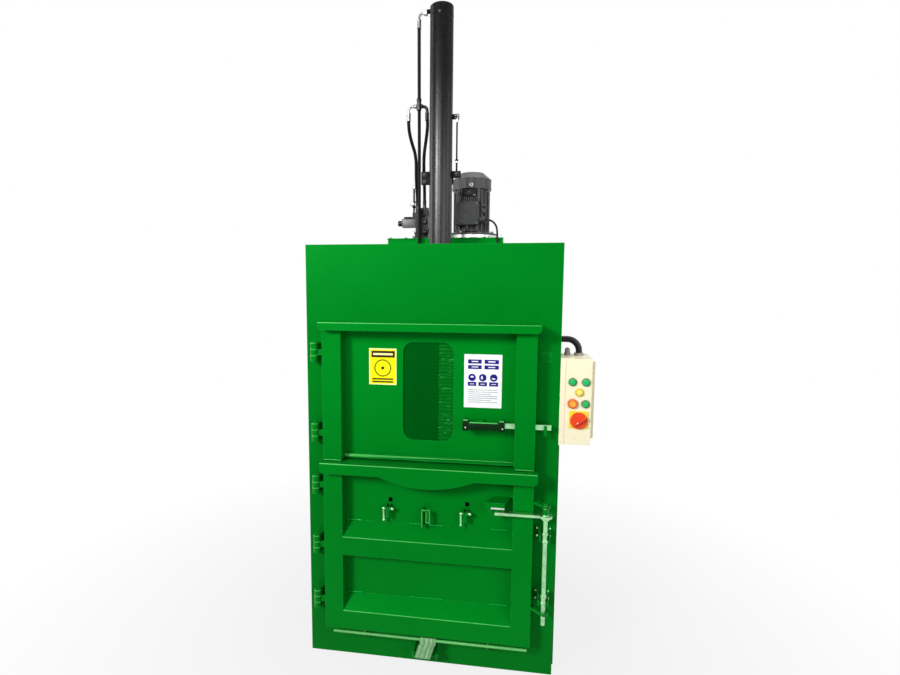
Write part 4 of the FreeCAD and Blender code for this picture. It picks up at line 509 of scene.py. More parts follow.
class Shape:
    """Turned, boxed and welded solids gathered in one mesh, in millimetres."""

    def __init__(self):
        self.points = []
        self.faces = []

    def ring(self, centre, across, other, radius, sides):
        start = len(self.points)
        for k in range(sides):
            angle = 2 * pi * k / sides
            self.points.append(centre + (across * cos(angle) + other * sin(angle)) * radius)
        return list(range(start, start + sides))

    def tip(self, centre):
        self.points.append(centre)
        return [len(self.points) - 1]

    def skin(self, rings):
        """Side faces between neighbouring rings or tips, and a face on each open end."""
        for low, high in zip(rings, rings[1:]):
            for k in range(max(len(low), len(high))):
                a, b = low[k % len(low)], low[(k + 1) % len(low)]
                c, e = high[(k + 1) % len(high)], high[k % len(high)]
                self.faces.append(tuple(dict.fromkeys((a, b, c, e))))
        for end in (rings[0][::-1], rings[-1]):
            if len(end) > 1:
                self.faces.append(tuple(end))
        return self

    def lathe(self, base, axis, profile, sides=24):
        """A solid turned about an axis; profile is (radius, height) from its foot to its top."""
        along = Vector(AXES[axis] if isinstance(axis, str) else axis).normalized()
        across = along.orthogonal().normalized()
        other = along.cross(across)
        rings = []
        for radius, height in profile:
            centre = Vector(base) + along * height
            rings.append(self.tip(centre) if radius < TINY
                         else self.ring(centre, across, other, radius, sides))
        return self.skin(rings)

    def box(self, x, y, z, trim=0.0):
        """A block, with its edges cut by trim."""
        bm = bmesh.new()
        bmesh.ops.create_cube(bm, size=1)
        size = Vector((x[1] - x[0], y[1] - y[0], z[1] - z[0]))
        middle = Vector((x[1] + x[0], y[1] + y[0], z[1] + z[0])) / 2
        for v in bm.verts:
            v.co = Vector(a * b for a, b in zip(v.co, size)) + middle
        if trim:
            bmesh.ops.bevel(bm, geom=bm.edges[:], offset=trim, segments=2, affect="EDGES",
                            profile=0.5)
        bm.verts.index_update()
        start = len(self.points)
        self.points += [v.co.copy() for v in bm.verts]
        self.faces += [tuple(start + v.index for v in f.verts) for f in bm.faces]
        bm.free()
        return self

    def outline(self, corners, depth, plane="XZ"):
        """A flat plate from its corners (a, b), between two depths."""
        place = {"XZ": lambda a, b, t: (a, t, b), "YZ": lambda a, b, t: (t, a, b)}[plane]
        start = len(self.points)
        count = len(corners)
        for t in depth:
            self.points += [Vector(place(a, b, t)) for a, b in corners]
        self.faces.append(tuple(start + k for k in range(count)))
        self.faces.append(tuple(start + count + k for k in reversed(range(count))))
        for k in range(count):
            n = (k + 1) % count
            self.faces.append((start + k, start + count + k, start + count + n, start + n))
        return self

    def tube(self, points, radii, sides=10):
        """A round bar along points, with one radius or one for each point."""
        points = [Vector(p) for p in points]
        if not hasattr(radii, "__len__"):
            radii = [radii] * len(points)
        rings = []
        across = None
        for k, point in enumerate(points):
            ahead = (points[min(k + 1, len(points) - 1)] - points[max(k - 1, 0)]).normalized()
            across = ahead.orthogonal() if across is None else across - ahead * across.dot(ahead)
            across.normalize()
            rings.append(self.ring(point, across, ahead.cross(across), radii[k], sides))
        return self.skin(rings)

    def bead(self, start, end, radius=3.0):
        """A run of weld: overlapping scales, a little uneven, sunk in the corner it fills."""
        start, end = Vector(start), Vector(end)
        length = (end - start).length
        pitch = radius * 1.15
        count = max(6, int(length / (pitch / 4)))
        points, radii = [], []
        for k in range(count + 1):
            along = length * k / count
            scale = 0.80 + 0.20 * abs(sin(pi * along / pitch))
            scale *= 1 + random.uniform(-0.04, 0.04)
            close = min(along, length - along) / (radius * 1.5)
            scale *= sqrt(min(1.0, 0.12 + close))
            wander = Vector(random.uniform(-0.06, 0.06) * radius for _ in range(3))
            points.append(start.lerp(end, k / count) + wander)
            radii.append(radius * scale)
        return self.tube(points, radii, 8)

    def bolt(self, centre, axis, across=13.0, tall=5.5, washer=True):
        """A hexagon head on its washer; centre is on the face it clamps."""
        half = across / 2 / cos(pi / 6)
        foot = 0.0
        if washer:
            foot = 1.6
            edge = across * 0.92
            self.lathe(centre, axis, [(edge, 0), (edge, foot - 0.3), (edge - 0.3, foot)], 24)
        profile = [(half, foot), (half, foot + tall * 0.8), (half * 0.9, foot + tall)]
        return self.lathe(centre, axis, profile, 6)

    def socket_screw(self, centre, axis, radius=4.0, tall=4.0):
        """A round head with a hexagon socket."""
        deep = tall * 0.45
        profile = [(radius, 0), (radius, tall - 0.5), (radius - 0.5, tall), (radius * 0.55, tall),
                   (radius * 0.5, tall - deep), (0, tall - deep)]
        return self.lathe(centre, axis, profile, 18)

    def dome_screw(self, centre, axis, radius=3.0, tall=1.8):
        """A pan head with a cross recess told by a sunk middle."""
        profile = [(radius, 0), (radius * 0.97, tall * 0.45), (radius * 0.72, tall * 0.92),
                   (radius * 0.36, tall), (radius * 0.22, tall * 0.35), (0, tall * 0.3)]
        return self.lathe(centre, axis, profile, 16)

    def place(self, name, look, body=BODY, slot=None, sharp=35):
        """Makes the piece, smooth except at its sharp edges, and lets it ride on its body."""
        mesh = bpy.data.meshes.new(name)
        mesh.from_pydata([p * MM for p in self.points], [], self.faces)
        bm = bmesh.new()
        bm.from_mesh(mesh)
        bmesh.ops.recalc_face_normals(bm, faces=bm.faces[:])
        bm.to_mesh(mesh)
        bm.free()
        mesh.polygons.foreach_set("use_smooth", [True] * len(mesh.polygons))
        mesh.set_sharp_from_angle(angle=radians(sharp))
        piece = in_scene(name, mesh)
        mesh.materials.append(LOOK[look])
        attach(piece, body)
        return piece


def circle(centre, radius, sides):
    return [(centre[0] + radius * cos(2 * pi * k / sides),
             centre[1] + radius * sin(2 * pi * k / sides)) for k in range(sides)]


def thin_ring(shape, centre, radius, z):
    """A thin round bar bent to a level ring."""
    turns = [2 * pi * k / 72 for k in range(73)]
    shape.tube([(centre[0] + radius * cos(a), centre[1] + radius * sin(a), z)
                for a in turns], 0.9, 6)


def around(count, shift):
    """Outward directions, evenly spaced round an upright axis; shift is in steps."""
    for k in range(count):
        angle = 2 * pi * (k + shift) / count
        yield cos(angle), sin(angle), 0


def rounded(left, right, low, high, radius):
    """Corners (a, b) of a rectangle with round corners."""
    steps = 5
    corners = []
    for centre_a, centre_b, start in ((right - radius, high - radius, 0.0),
                                      (left + radius, high - radius, 0.5),
                                      (left + radius, low + radius, 1.0),
                                      (right - radius, low + radius, 1.5)):
        for k in range(steps + 1):
            angle = pi * (start + 0.5 * k / steps)
            corners.append((centre_a + radius * cos(angle), centre_b + radius * sin(angle)))
    return corners


# ---- plates on the loading door ----

STICKER = 0.9           # thickness of a plate stuck on the door
INK = 0.25              # printed fields stand this far proud


def hoop(shape, centre, outer, inner, depth):
    """A flat ring."""
    sides = 40
    out, core = circle(centre, outer, sides), circle(centre, inner, sides)
    for k in range(sides):
        n = (k + 1) % sides
        shape.outline([out[k], out[n], core[n], core[k]], depth)


def yellow_plate():
    """Yellow plate with a pale rim, a dark band, a ring round a dot and two lines."""
    back, face = SHEET, SHEET - STICKER
    ink = (face - INK, face)
    left, right, low, high = -240, -129, 1159, 1304
    plate = Shape().outline(rounded(left, right, low, high, 3), (face, back))
    plate.place("plate_yellow", "yellow_sticker", "upper_door")
    rim = Shape()
    for a, b, c, e in ((left, right, high - 5, high), (left, right, low, low + 4),
                       (left, left + 4, low + 4, high - 5), (right - 4, right, low + 4, high - 5)):
        rim.box((a, b), (face - 0.1, face + 0.3), (c, e))
    rim.place("plate_yellow_rim", "pale_yellow", "upper_door")
    marks = Shape()
    marks.outline(rounded(left + 10, right - 7, high - 36, high - 10, 1), ink)
    hoop(marks, ((left + right) / 2, high - 78), 34, 30, ink)
    marks.outline(circle(((left + right) / 2, high - 78), 6, 20), ink)
    for top in (high - 119, high - 130):
        marks.outline(rounded(left + 13, right - 13, top - 6, top, 1), ink)
    marks.place("plate_yellow_marks", "dark_ink", "upper_door")
    line = Shape().box((left + 17, right - 15), (ink[0] - 0.2, ink[1]), (high - 27, high - 19))
    line.place("plate_yellow_line", "pale_yellow", "upper_door")


def white_sheet():
    """White sheet with plain fields, discs and lines."""
    back, face = SHEET, SHEET - STICKER
    ink = (face - INK, face)
    mark = (face - 2 * INK, face - INK)
    left, right, low, high = 137, 282, 1081, 1289
    sheet = Shape().outline(rounded(left, right, low, high, 3), (face, back))
    sheet.place("sheet_white", "white_sticker", "upper_door")
    blue, white = Shape(), Shape()
    for start, stop in ((14.5, 67), (78, 132)):
        for top, foot in ((20, 36), (42, 57)):
            blue.outline(rounded(left + start, left + stop, high - foot, high - top, 1), ink)
            white.box((left + start + 14, left + stop - 13), mark, (high - foot + 6, high - top - 5.5))
    for column, (start, stop) in enumerate(((14.5, 47), (55.6, 87.8), (96.7, 130.5))):
        middle = (left + (start + stop) / 2, high - 90)
        blue.outline(circle(middle, 14.5, 32), ink)
        half = circle(middle, 7, 20)
        white.outline(half[5 * column:5 * column + 11], mark)
        blue.outline(rounded(left + start, left + stop, high - 123, high - 107, 1), ink)
        white.box((left + start + 8, left + stop - 8), mark, (high - 116.5, high - 114))
    blue.place("sheet_blue_fields", "blue_ink", "upper_door")
    white.place("sheet_white_marks", "pale_mark", "upper_door")
    lines = Shape()
    for row in range(7):
        top = high - 137 - row * 8
        short = 40 if row % 3 == 2 else 16
        lines.box((left + 16, right - short), ink, (top - 2.4, top))
    lines.place("sheet_lines", "grey_ink", "upper_door")


def latch_grip():
    """The bridge handle: two feet with screws and a grip between them, with highlights painted along its
    top.
    """
    body = Shape()
    for left in (137, 272):
        body.box((left, left + 24), (-397.5, -354), (1005, 1044), 4)
    body.box((154, 279), (-397.8, -381), (1009, 1037), 5)
    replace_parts(body.place("latch_grip", "grip", "upper_latch"), "latch_handle")
    # pale strips painted as highlights along the top of the grip and its feet
    pale = Shape()
    pale.box((163, 270), (-396.5, -385), (1035.5, 1038), 0.9)
    pale.box((140, 158), (-395, -370), (1042.6, 1044.4), 0.7)
    pale.box((275, 293), (-395, -370), (1042.6, 1044.2), 0.6)
    pale.place("grip_highlight", "painted_highlight", "upper_latch")
    screws = Shape()
    for x in (149, 287):
        screws.dome_screw((x, -397.4, 1018), "-y", 3.2, 1.6)
    screws.place("grip_screws", "bright", "upper_latch")
    finger = Shape().box((441.7, 453.3), (-360.4, -354), (987.7, 1026.3), 0.8)
    finger.place("latch_finger", "green", "upper_latch")


# ---- bale door ----

def brake_cams():
    """The painted cams of the two strap brakes."""
    for name, middle in (("brake_left", -160), ("brake_right", 150)):
        cam = Shape().outline([(-363.3, 667.3), (-344.7, 667.3), (-350.7, 626.7), (-360.3, 626.7)],
                              (middle - 5.9, middle + 5.9), "YZ")
        cam.place(name + "_cam", "green", name)


def lock_details():
    """Painted collars of the lock rod, the lip of its catch and highlights painted along the hook's edges.
    """
    collar = Shape()
    collar.lathe((*LOCK, 700.4), "z", [(11.4, 0), (11.4, 22.6), (10, 23.4)], 24)
    collar.lathe((*LOCK, 737), "z", [(8.9, 0), (8.9, 4.8), (7.9, 5.6), (0, 5.8)], 24)
    collar.place("lock_collar", "green", "lower_lock")
    lip = Shape().box((250, 301), (-397.5, -388.5), (704, 711.5), 1.6)
    lip.place("catch_lip", "silver", "lower_door")
    # pale lines painted as highlights along the hook's edges
    hook = Shape()
    y, top, tip = -364, 669, 617
    for (x1, z1), (x2, z2) in (((-21, 596), (-21, top)), ((-21, top), (10, top)),
                               ((10, top), (10, tip)), ((-4, tip), (10, tip)), ((-4, tip), (-4, 660))):
        hook.tube([(x1, y, z1), (x2, y, z2)], 1.7, 6)
    hook.place("hook_highlights", "painted_highlight", "lower_door")


def painted_edge_highlights():
    """Painted highlights: pale lines along the fold edges of the doors' rails and the sill, a band on the
    sill, lines at the posts' feet and arcs on the hinges' rims.
    """
    upper, lower = Shape(), Shape()
    rail, inner = (-421, 420), (-341, 332)      # ends of the rails, and between the posts
    sill = -344.6                               # front of the loading door's drip sill
    # pale lines painted as highlights along the fold edges of the rails and the sill
    for shape, (left, right), y, z, radii in ((upper, rail, RAIL + 0.6, 1407.2, (1.8, 1.0)),
                                              (upper, inner, sill, 873.5, (2.0, 1.3)),
                                              (lower, rail, RAIL + 0.6, 852.2, (2.2, 1.7)),
                                              (lower, inner, POST, 540, (1.9, 1.4)),
                                              (lower, inner, POST, 226, (1.9, 1.4))):
        shape.tube([(left, y, z), (right, y, z)], radii, 8)
    # a pale band painted as the highlight on the sill, narrowing to the right
    upper.outline([(-338, 874), (-338, 865), (-180, 867.5), (60, 871.5), (200, 874)], (sill - 1, sill))
    # pale lines painted as highlights at the feet of the loading door's posts
    for left in (-415, 336):
        upper.bead((left, POST + 1, 858), (left + 70, POST + 1, 858), 2.0)
    # arcs painted as highlights on the rims of the hinges' knuckles
    fixed = Shape()
    for middle in HINGES:
        swinging = upper if middle > 900 else lower
        for shape, level in ((fixed, 36.6), (fixed, -13.4), (swinging, 11.6)):
            turns = [pi * (1.15 + 0.7 * k / 10) for k in range(11)]
            shape.tube([(HINGE_X + 15.6 * cos(a), -355 + 15.6 * sin(a), middle + level)
                        for a in turns], 1.3, 6)
    fixed.place("hinge_highlights", "painted_highlight")
    upper.place("upper_door_highlights", "painted_highlight", "upper_door")
    lower.place("lower_door_highlights", "painted_highlight", "lower_door")


# ---- welds ----

def rail_welds():
    """Stitches where the sloped tops of the two low rails meet the bale door's sheet."""
    seam = Shape()
    for level in (593, 281):
        for start, stop in ((-341, -268), (-75, 64), (251, 325)):
            seam.bead((start, SHEET - 1.2, level + 1.5), (stop, SHEET - 1.2, level + 1.5), 3.8)
    seam.place("slope_welds", "weld", "lower_door")


def plate_welds():
    """Fillets of hinge webs, rod saddles, strap bracket and gussets, and the painted gussets."""
    seam = Shape()
    for middle in HINGES:
        for low in (middle - 37, middle + 13):
            for x in (-469.5, -444.5):
                seam.bead((x, PLATE - 0.8, low), (x, PLATE - 0.8, low + 24), 2.6)
    for low, high in SADDLES:
        for x in (432.4, 473.6):
            seam.bead((x, -325.6, low + 2), (x, -325.6, high - 2), 2.2)
    for x in (-54.6, -47.4, 37.4, 44.6):
        seam.bead((x, PLATE - 0.8, 38), (x, PLATE - 0.8, 86), 2.6)
    for x in (-259.6, -252.4, 242.4, 249.6):
        seam.bead((x, PLATE - 0.8, 79), (x, PLATE - 0.8, 131), 2.6)
    seam.place("plate_welds", "weld")
    painted = Shape()
    for left in (-259.4, 242.6):
        painted.outline([(-378.5, 124.4), (-378.5, 127.4), (-320.2, 127.4), (-320.2, 76.4)],
                        (left, left + 6.8), "YZ")
    painted.box((428, 467), (PLATE - 0.5, PLATE + 0.5), (1263, 1300), 0.3)
    painted.place("gusset_paint", "green")


def wall_welds():
    """Stitches along the channels on the side walls and the two channels on the back."""
    seam = Shape()
    for side in (-1, 1):
        for row in range(4):
            for level in (300 + 320 * row, 360 + 320 * row):
                for k in range(5):
                    start = -250 + 125 * k
                    seam.bead((side * WALL, start, level), (side * WALL, start + 60, level), 3.0)
        for middle in REAR_CHANNELS:
            for k in range(8):
                low = 150 + 190 * k
                x = middle + CHANNEL_EDGE * side
                seam.bead((x, BACK, low), (x, BACK, low + 60), 3.0)
    seam.place("wall_welds", "weld")


def saddle_screws():
    """Bright screws through the four wings of the two saddles."""
    screws = Shape()
    for low, high in SADDLES:
        for x in (429, 477):
            for z in (low + 9, high - 9):
                screws.bolt((x, -328.6, z), "-y", 8, 2.4, washer=False)
    screws.place("saddle_screws", "plated")


def belt_line():
    """Middle line (y, z) of the ejector strap, from its tongue under the roller to its tail."""
    line = [(-361, 53.7), (-372, 53.7), (-380, 53.9), (-383.4, 55.2), (-385, 58.6), (-385.3, 64)]
    line += [(-385.3, 64 + 6.9 * k) for k in range(1, 11)]
    for k in range(13):
        angle = pi * (1 - k / 12)
        line.append((-378 + 7.3 * cos(angle), 133 + 7.3 * sin(angle)))
    return line + [(-370.7, 133 - 5.5 * k) for k in range(1, 5)]


def ejector_belt():
    """The woven strap over the bar: four ribs across its width and thin edges."""
    wide, half_thick, columns = 64.0, 1.15, 48
    line = [Vector((0, y, z)) for y, z in belt_line()]
    run = [0.0]
    for a, b in zip(line, line[1:]):
        run.append(run[-1] + (b - a).length)
    points, faces, where = [], [], []
    for side in (1, -1):
        for k, point in enumerate(line):
            ahead = (line[min(k + 1, len(line) - 1)] - line[max(k - 1, 0)]).normalized()
            out = Vector((0, -ahead.z, ahead.y))
            lean = -22 * min(1, max(0, (133 - point.z) / 78)) if run[k] < 84 else 0
            for c in range(columns + 1):
                u = c / columns
                rib = 0.45 * cos(2 * pi * 3.5 * u)
                near_edge = min(u, 1 - u) * wide
                thick = half_thick * min(1, 0.25 + near_edge / 1.8)
                points.append(point + out * (rib + side * thick) + Vector((-24 + lean + wide * u, 0, 0)))
                where.append((u, run[k] / wide))
    across = columns + 1
    rows = len(line)

    def at(side, k, c):
        return side * rows * across + k * across + c

    for k in range(rows - 1):
        for c in range(columns):
            faces.append((at(0, k, c), at(0, k, c + 1), at(0, k + 1, c + 1), at(0, k + 1, c)))
            faces.append((at(1, k, c), at(1, k + 1, c), at(1, k + 1, c + 1), at(1, k, c + 1)))
        for c in (0, columns):
            faces.append((at(0, k, c), at(0, k + 1, c), at(1, k + 1, c), at(1, k, c)))
    for c in range(columns):
        for k in (0, rows - 1):
            faces.append((at(0, k, c), at(0, k, c + 1), at(1, k, c + 1), at(1, k, c)))
    belt = Shape()
    belt.points, belt.faces = points, faces
    piece = belt.place("ejector_belt", "webbing", sharp=70)
    layer = piece.data.uv_layers.new(name="weave")
    for loop in piece.data.loops:
        layer.data[loop.index].uv = where[loop.vertex_index]
    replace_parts(piece, "ejector_strap")


# ---- control box ----

def bezel(shape, centre, outer, inner, tall):
    profile = [(outer, 0), (outer, tall - 1.2), (outer - 1.1, tall), (inner + 1, tall),
               (inner, tall - 1.2), (inner, 0.6)]
    shape.lathe((centre[0], LID, centre[1]), "-y", profile, 36)


def box_details():
    """Rings of the buttons, the isolator's yellow plate, its marks and a shade line painted along the
    lid's fold.
    """
    green, orange, yellow = Shape(), Shape(), Shape()
    for centre in BUTTONS:
        bezel(green, centre, 16.0, 11.4, 5.4)
    green.place("button_rings", "ring_green")
    bezel(orange, STOP, 19.2, 15.4, 7.5)
    orange.place("stop_ring", "ring_orange")
    bezel(yellow, LAMP, 16.1, 13.2, 4.8)
    yellow.place("lamp_ring", "ring_yellow")
    plate = Shape()
    left, right, low, high = 536.4, 607.0, 1013.6, 1080.2
    sides = 48
    inner = circle(KNOB, 31, sides)
    outer = []
    for x, z in inner:
        dx, dz = x - KNOB[0], z - KNOB[1]
        reach = min(((right if dx > 0 else left) - KNOB[0]) / dx if abs(dx) > TINY else 99,
                    ((high if dz > 0 else low) - KNOB[1]) / dz if abs(dz) > TINY else 99)
        outer.append((KNOB[0] + dx * reach, KNOB[1] + dz * reach))
    for k in range(sides):
        n = (k + 1) % sides
        plate.outline([outer[k], outer[n], inner[n], inner[k]], (-323.3, LID + 0.5))
    plate.place("isolator_plate", "yellow_plastic")
    notch = Shape().box((588, 598), (-332.8, -331), (1056, 1062), 0.6)
    notch.place("knob_notch", "yellow_plastic", "isolator")
    dot = Shape().lathe((565, -343.9, 1038.5), "-y", [(2.6, 0), (2.6, 0.5), (2, 0.8)], 16)
    dot.place("knob_dot", "pale_mark", "isolator")
    # a pinkish line of painted shade along the lid's fold
    fold = Shape().box((518.6, 520.0), (LID - 0.35, LID + 0.2), (950, 1279))
    fold.place("lid_fold_shade", "fold")


# ---- hoses and the motor's cable ----

PORT_LINE = (-99, 10)   # axis of the pressure hose under the cap
PORT_Z = 2706           # elbow at the cap of the cylinder
TEE = (-108, 70)        # axis of the pressure line's tee
TEE_Z = 2352
ARM_Z = 2344            # its two arms
LEFT_DROP = (-155, 75)  # axes of the elbows at their ends
RIGHT_DROP = (-72, 75)
FERRULE_Z = 2306        # inside the ferrules under the arms
BLOCK_PORTS = ((-136, 205), (-101, 205))
BLOCK_TOP = 1919        # top of the valve block
DOWN_LINE = (-119, 160) # the pressure hose beside the block
CABLE_Z = 1860          # gland of the terminal box
CABLE_FOOT = (244, 161)
BEND = 18               # radius of the elbows
HOSE_ROUND = 7.5        # radii of the lines
CABLE_ROUND = 4.5
LINES = {
    "pressure_hose": (1085, HOSE_ROUND, [
        (*PORT_LINE, PORT_Z - 30), (*PORT_LINE, PORT_Z - 114), (*DOWN_LINE, BLOCK_TOP + 76),
        (*DOWN_LINE, DECK_Z)]),
    "return_hose": (416, HOSE_ROUND, [
        (*LEFT_DROP, FERRULE_Z), (-158, 80, TEE_Z - 90), (-150, 108, TEE_Z - 146),
        (-130, 132, TEE_Z - 208), (-135, 160, TEE_Z - 307), (*BLOCK_PORTS[0], BLOCK_TOP + 61),
        (*BLOCK_PORTS[0], BLOCK_TOP)]),
    "link_hose": (415, HOSE_ROUND, [
        (*RIGHT_DROP, FERRULE_Z), (-69, 80, TEE_Z - 82), (-79, 106, TEE_Z - 134),
        (-93, 126, TEE_Z - 200), (-97, 148, TEE_Z - 266), (-99, 182, TEE_Z - 322),
        (*BLOCK_PORTS[1], BLOCK_TOP + 56), (*BLOCK_PORTS[1], BLOCK_TOP)]),
    "motor_cable": (295, CABLE_ROUND, [
        (183, 192, CABLE_Z), (205, 192, CABLE_Z), (227, 191, CABLE_Z - 11), (242, 186, CABLE_Z - 33),
        (246, 173, CABLE_Z - 62), (245, 163, CABLE_Z - 100), (*CABLE_FOOT, DECK_Z + 92),
        (*CABLE_FOOT, DECK_Z)]),
}


def lay_line(name):
    """One hose or cable as a smooth curve on the points of the part's own route."""
    length, radius, route = LINES[name]
    curve = bpy.data.curves.new(name + "_line", "CURVE")
    curve.dimensions = "3D"
    curve.bevel_depth = radius * MM
    curve.bevel_resolution = 6
    curve.resolution_u = 16
    curve.use_fill_caps = True
    spline = curve.splines.new("NURBS")
    spline.points.add(len(route) - 1)
    for point, place in zip(spline.points, route):
        point.co = (*(value * MM for value in place), 1)
    spline.order_u = 3
    spline.use_endpoint_u = True
    curve.materials.append(LOOK["cable" if name == "motor_cable" else "hose"])
    piece = in_scene(name + "_line", curve)
    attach(piece, BODY)
    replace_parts(piece, name)


# ---- hydraulics ----

def quarter(x, y, z, side, radius, shape):
    """A tube from a level run at z down to a drop at x, y; the run comes from the other side."""
    steps = 9
    points = [(x - BEND * side - 6 * side, y, z)]
    for k in range(steps + 1):
        angle = pi / 2 * k / steps
        points.append((x - BEND * side + BEND * side * sin(angle), y,
                       z - BEND + BEND * cos(angle)))
    points.append((x, y, z - BEND - 9))
    shape.tube(points, radius, 14)


def ferrule(shape, x, y, low, high, radius=9.5):
    """A crimped hose end: jaw marks between two collars."""
    tall = high - low
    profile = [(radius - 1.6, 0), (radius, 1.5), (radius, tall * 0.14)]
    for k in range(4):
        start = tall * (0.18 + 0.15 * k)
        profile += [(radius - 1.1, start), (radius - 1.1, start + tall * 0.09),
                    (radius - 0.2, start + tall * 0.11), (radius - 0.2, start + tall * 0.14)]
    profile += [(radius, tall * 0.82), (radius, tall - 2), (radius - 2.5, tall)]
    shape.lathe((x, y, low), "z", profile, 20)


def hydraulic_fittings():
    """Elbows, tee, hexagons and crimped ends of the three hoses."""
    low, high = 62, 26      # ends of the ferrules, below the elbows' middles
    silver, black = Shape(), Shape()
    x, y, z = *PORT_LINE, PORT_Z
    silver.lathe((-64, y, z), "-x", [(9, 0), (12.4, 1), (12.4, 9), (10.5, 10.2), (10.5, 12), (8, 17)], 6)
    silver.lathe((-66, y, z), "x", [(13.2, 0), (13.2, 3), (12, 4)], 24)
    quarter(x, y, z, -1, 5.2, silver)
    silver.lathe((x, y, z - 30), "z", [(7.4, 0), (7.4, 6), (6, 7)], 6)
    ferrule(silver, x, y, z - low, z - high)

    x, y, z = *TEE, TEE_Z
    black.lathe((x, y, z - 26), "z", [(9, 0), (12, 1), (12, 14), (11, 15), (11, 37), (12, 38), (12, 51),
                                      (9, 52)], 6)
    horn = [(8, 0), (9.6, 2), (10, 6), (9.2, 10), (7.5, 14), (5.5, 22)]
    silver.lathe((x - 8, y, ARM_Z), "-x", horn, 18)
    quarter(*LEFT_DROP, ARM_Z, -1, 4.6, silver)
    silver.lathe((*LEFT_DROP, ARM_Z - 30), "z", [(7.2, 0), (7.2, 6), (5.5, 7)], 6)
    ferrule(silver, *LEFT_DROP, ARM_Z - low, ARM_Z - high)
    black.lathe((x + 8, y, ARM_Z), "x", [(9, 0), (9, 9), (7.5, 10)], 6)
    quarter(*RIGHT_DROP, ARM_Z, 1, 7.2, black)
    ferrule(black, *RIGHT_DROP, ARM_Z - low, ARM_Z - high, 9.2)

    for x, y in BLOCK_PORTS:
        black.lathe((x, y, BLOCK_TOP), "z", [(10.5, 0), (10.5, 8), (9, 9)], 6)
        ferrule(black, x, y, BLOCK_TOP + 6, BLOCK_TOP + 36, 9)
    x, y = DOWN_LINE
    ferrule(black, x, y, BLOCK_TOP - 41, BLOCK_TOP - 7)
    silver.lathe((x, y, BLOCK_TOP - 9), "z", [(8.6, 0), (9.8, 0.5), (9.8, 3.6), (8.6, 4)], 24)
    foot = [(15, 0), (15, 3), (11.5, 4), (11.5, 14), (9.5, 15), (9.5, 24), (8, 25)]
    black.lathe((x, y, DECK_Z), "z", foot, 6)
    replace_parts(silver.place("fittings_silver", "fitting"), "hose_fittings")
    black.place("fittings_black", "black_fitting")


def stay_rod_ends():
    """Nut at the head of the stay rod, its clevis above the right arm, and the arms' bolts."""
    rod = (68, 10)
    arms = 2034
    nut = Shape()
    nut.lathe((57, 10, 2275), "x", [(5, 0), (12.2, 1), (12.2, 6), (8, 7), (8, 9), (12.6, 10),
                                    (12.6, 19), (9, 21)], 6)
    nut.lathe((*rod, 2252), "z", [(4.5, 0), (6.8, 1), (6.8, 12), (5, 13)], 6)
    nut.lathe((*rod, 2082), "z", [(2.5, 0), (5.6, 1), (5.6, 7), (3, 8)], 6)
    nut.place("stay_nuts", "fitting")
    bolts = Shape()
    for x in (-72, 70):
        bolts.bolt((x, 2, arms), "-y", 10, 5)
        bolts.bolt((x, 22, arms), "y", 10, 6, washer=False)
    bolts.bolt((-72, 2, arms - 30), "-y", 10, 5)
    bolts.place("collar_bolts", "black_fitting")


def cylinder_seam():
    """The groove between barrel and cap with its small bleed screw, and the cap's screws."""
    dark = Shape()
    thin_ring(dark, (0, 0), BARREL_ROUND, SEAM_Z)
    dark.place("cap_seam", "gap")
    plug = [(5, 0), (5, 2.5), (3.4, 3.2), (3.4, 5), (2, 5.6)]
    bleed = Shape().lathe((-3, -BARREL_ROUND, SEAM_Z), "-y", plug, 6)
    bleed.place("bleed_screw", "dark_steel")
    screws = Shape()
    for out in around(6, 0.3):
        screws.socket_screw((36 * out[0], 36 * out[1], CAP_TOP), "z", 5, 3.5)
    screws.place("cap_screws", "black_fitting")


def valve_details():
    """Coil jacket, cartridges, gauge nuts and plugs round the valve block."""
    x0, x1, y0 = -142, -80, 190         # left, right and front face of the block
    coil_axis = (220, 1850)             # (y, z)
    black, silver = Shape(), Shape()
    for z in (1800, 1850, 1900):
        for x in (x0 + 8, x1 - 8):
            black.socket_screw((x, y0, z), "-y", 4.4, 4)
    black.lathe((-96, y0, 1852), "-y", [(12, 0), (12, 7), (9, 8), (9, 13), (7, 15)], 6)
    black.lathe((-100, y0, 1884), "-y", [(8, 0), (8, 6), (6, 7)], 6)
    black.lathe((-96, y0 - 9, 1803), "-y", [(9, 0), (12.5, 3), (13, 7), (11, 11), (6, 13)], 20)
    for z in (1815, 1895):
        black.lathe((x1, 220, z), "x", [(13, 0), (13, 8), (10, 10), (10, 16), (7, 18)], 6)
    spindle = [(5.5, 0), (7.2, 1), (7.2, 9), (4.6, 10), (4.6, 50), (6, 51), (6, 60)]
    black.lathe((-153, 210, 1944), "z", spindle, 6)
    knob = [(7.5, 0), (9.5, 1), (9.5, 4), (7.5, 5), (6.5, 3.6), (0, 3.4)]
    silver.lathe((-153, 202, 2018), "-y", knob, 24)
    silver.lathe((-158, 199, 1938), "-y", [(8, 0), (11, 1), (11, 5), (9, 7), (7, 7.6), (0, 7)], 24)
    silver.box((-156, -143), (186, 194), (1777, 1808), 1.2)
    silver.lathe((-149, 190, 1800), "-y", [(5, 0), (5, 3), (4, 4)], 6)
    for y in (205, 236):
        silver.bolt((-146, y, 1810), "z", 8, 4, washer=False)
    black.place("valve_screws", "black_fitting")
    silver.place("valve_nuts", "fitting")

    coil = Shape().box((-207.6, -146), (197.4, 242.6), (1831, 1869.4), 2.6)
    coil.lathe((-208, *coil_axis), "-x", [(16, 0), (16, 4), (14.4, 5)], 24)
    coil.place("coil_jacket", "coil")
    crown = [(12, 0), (13.6, 1), (13.6, 16), (12.4, 18), (8, 18.5)]
    cap = Shape().lathe((-212, *coil_axis), "-x", crown, 24)
    cap.box((-197, -160), (206, 234), (1869, 1880), 2.2)
    cap.place("coil_cap", "black_fitting")


# ---- motor and tank ----

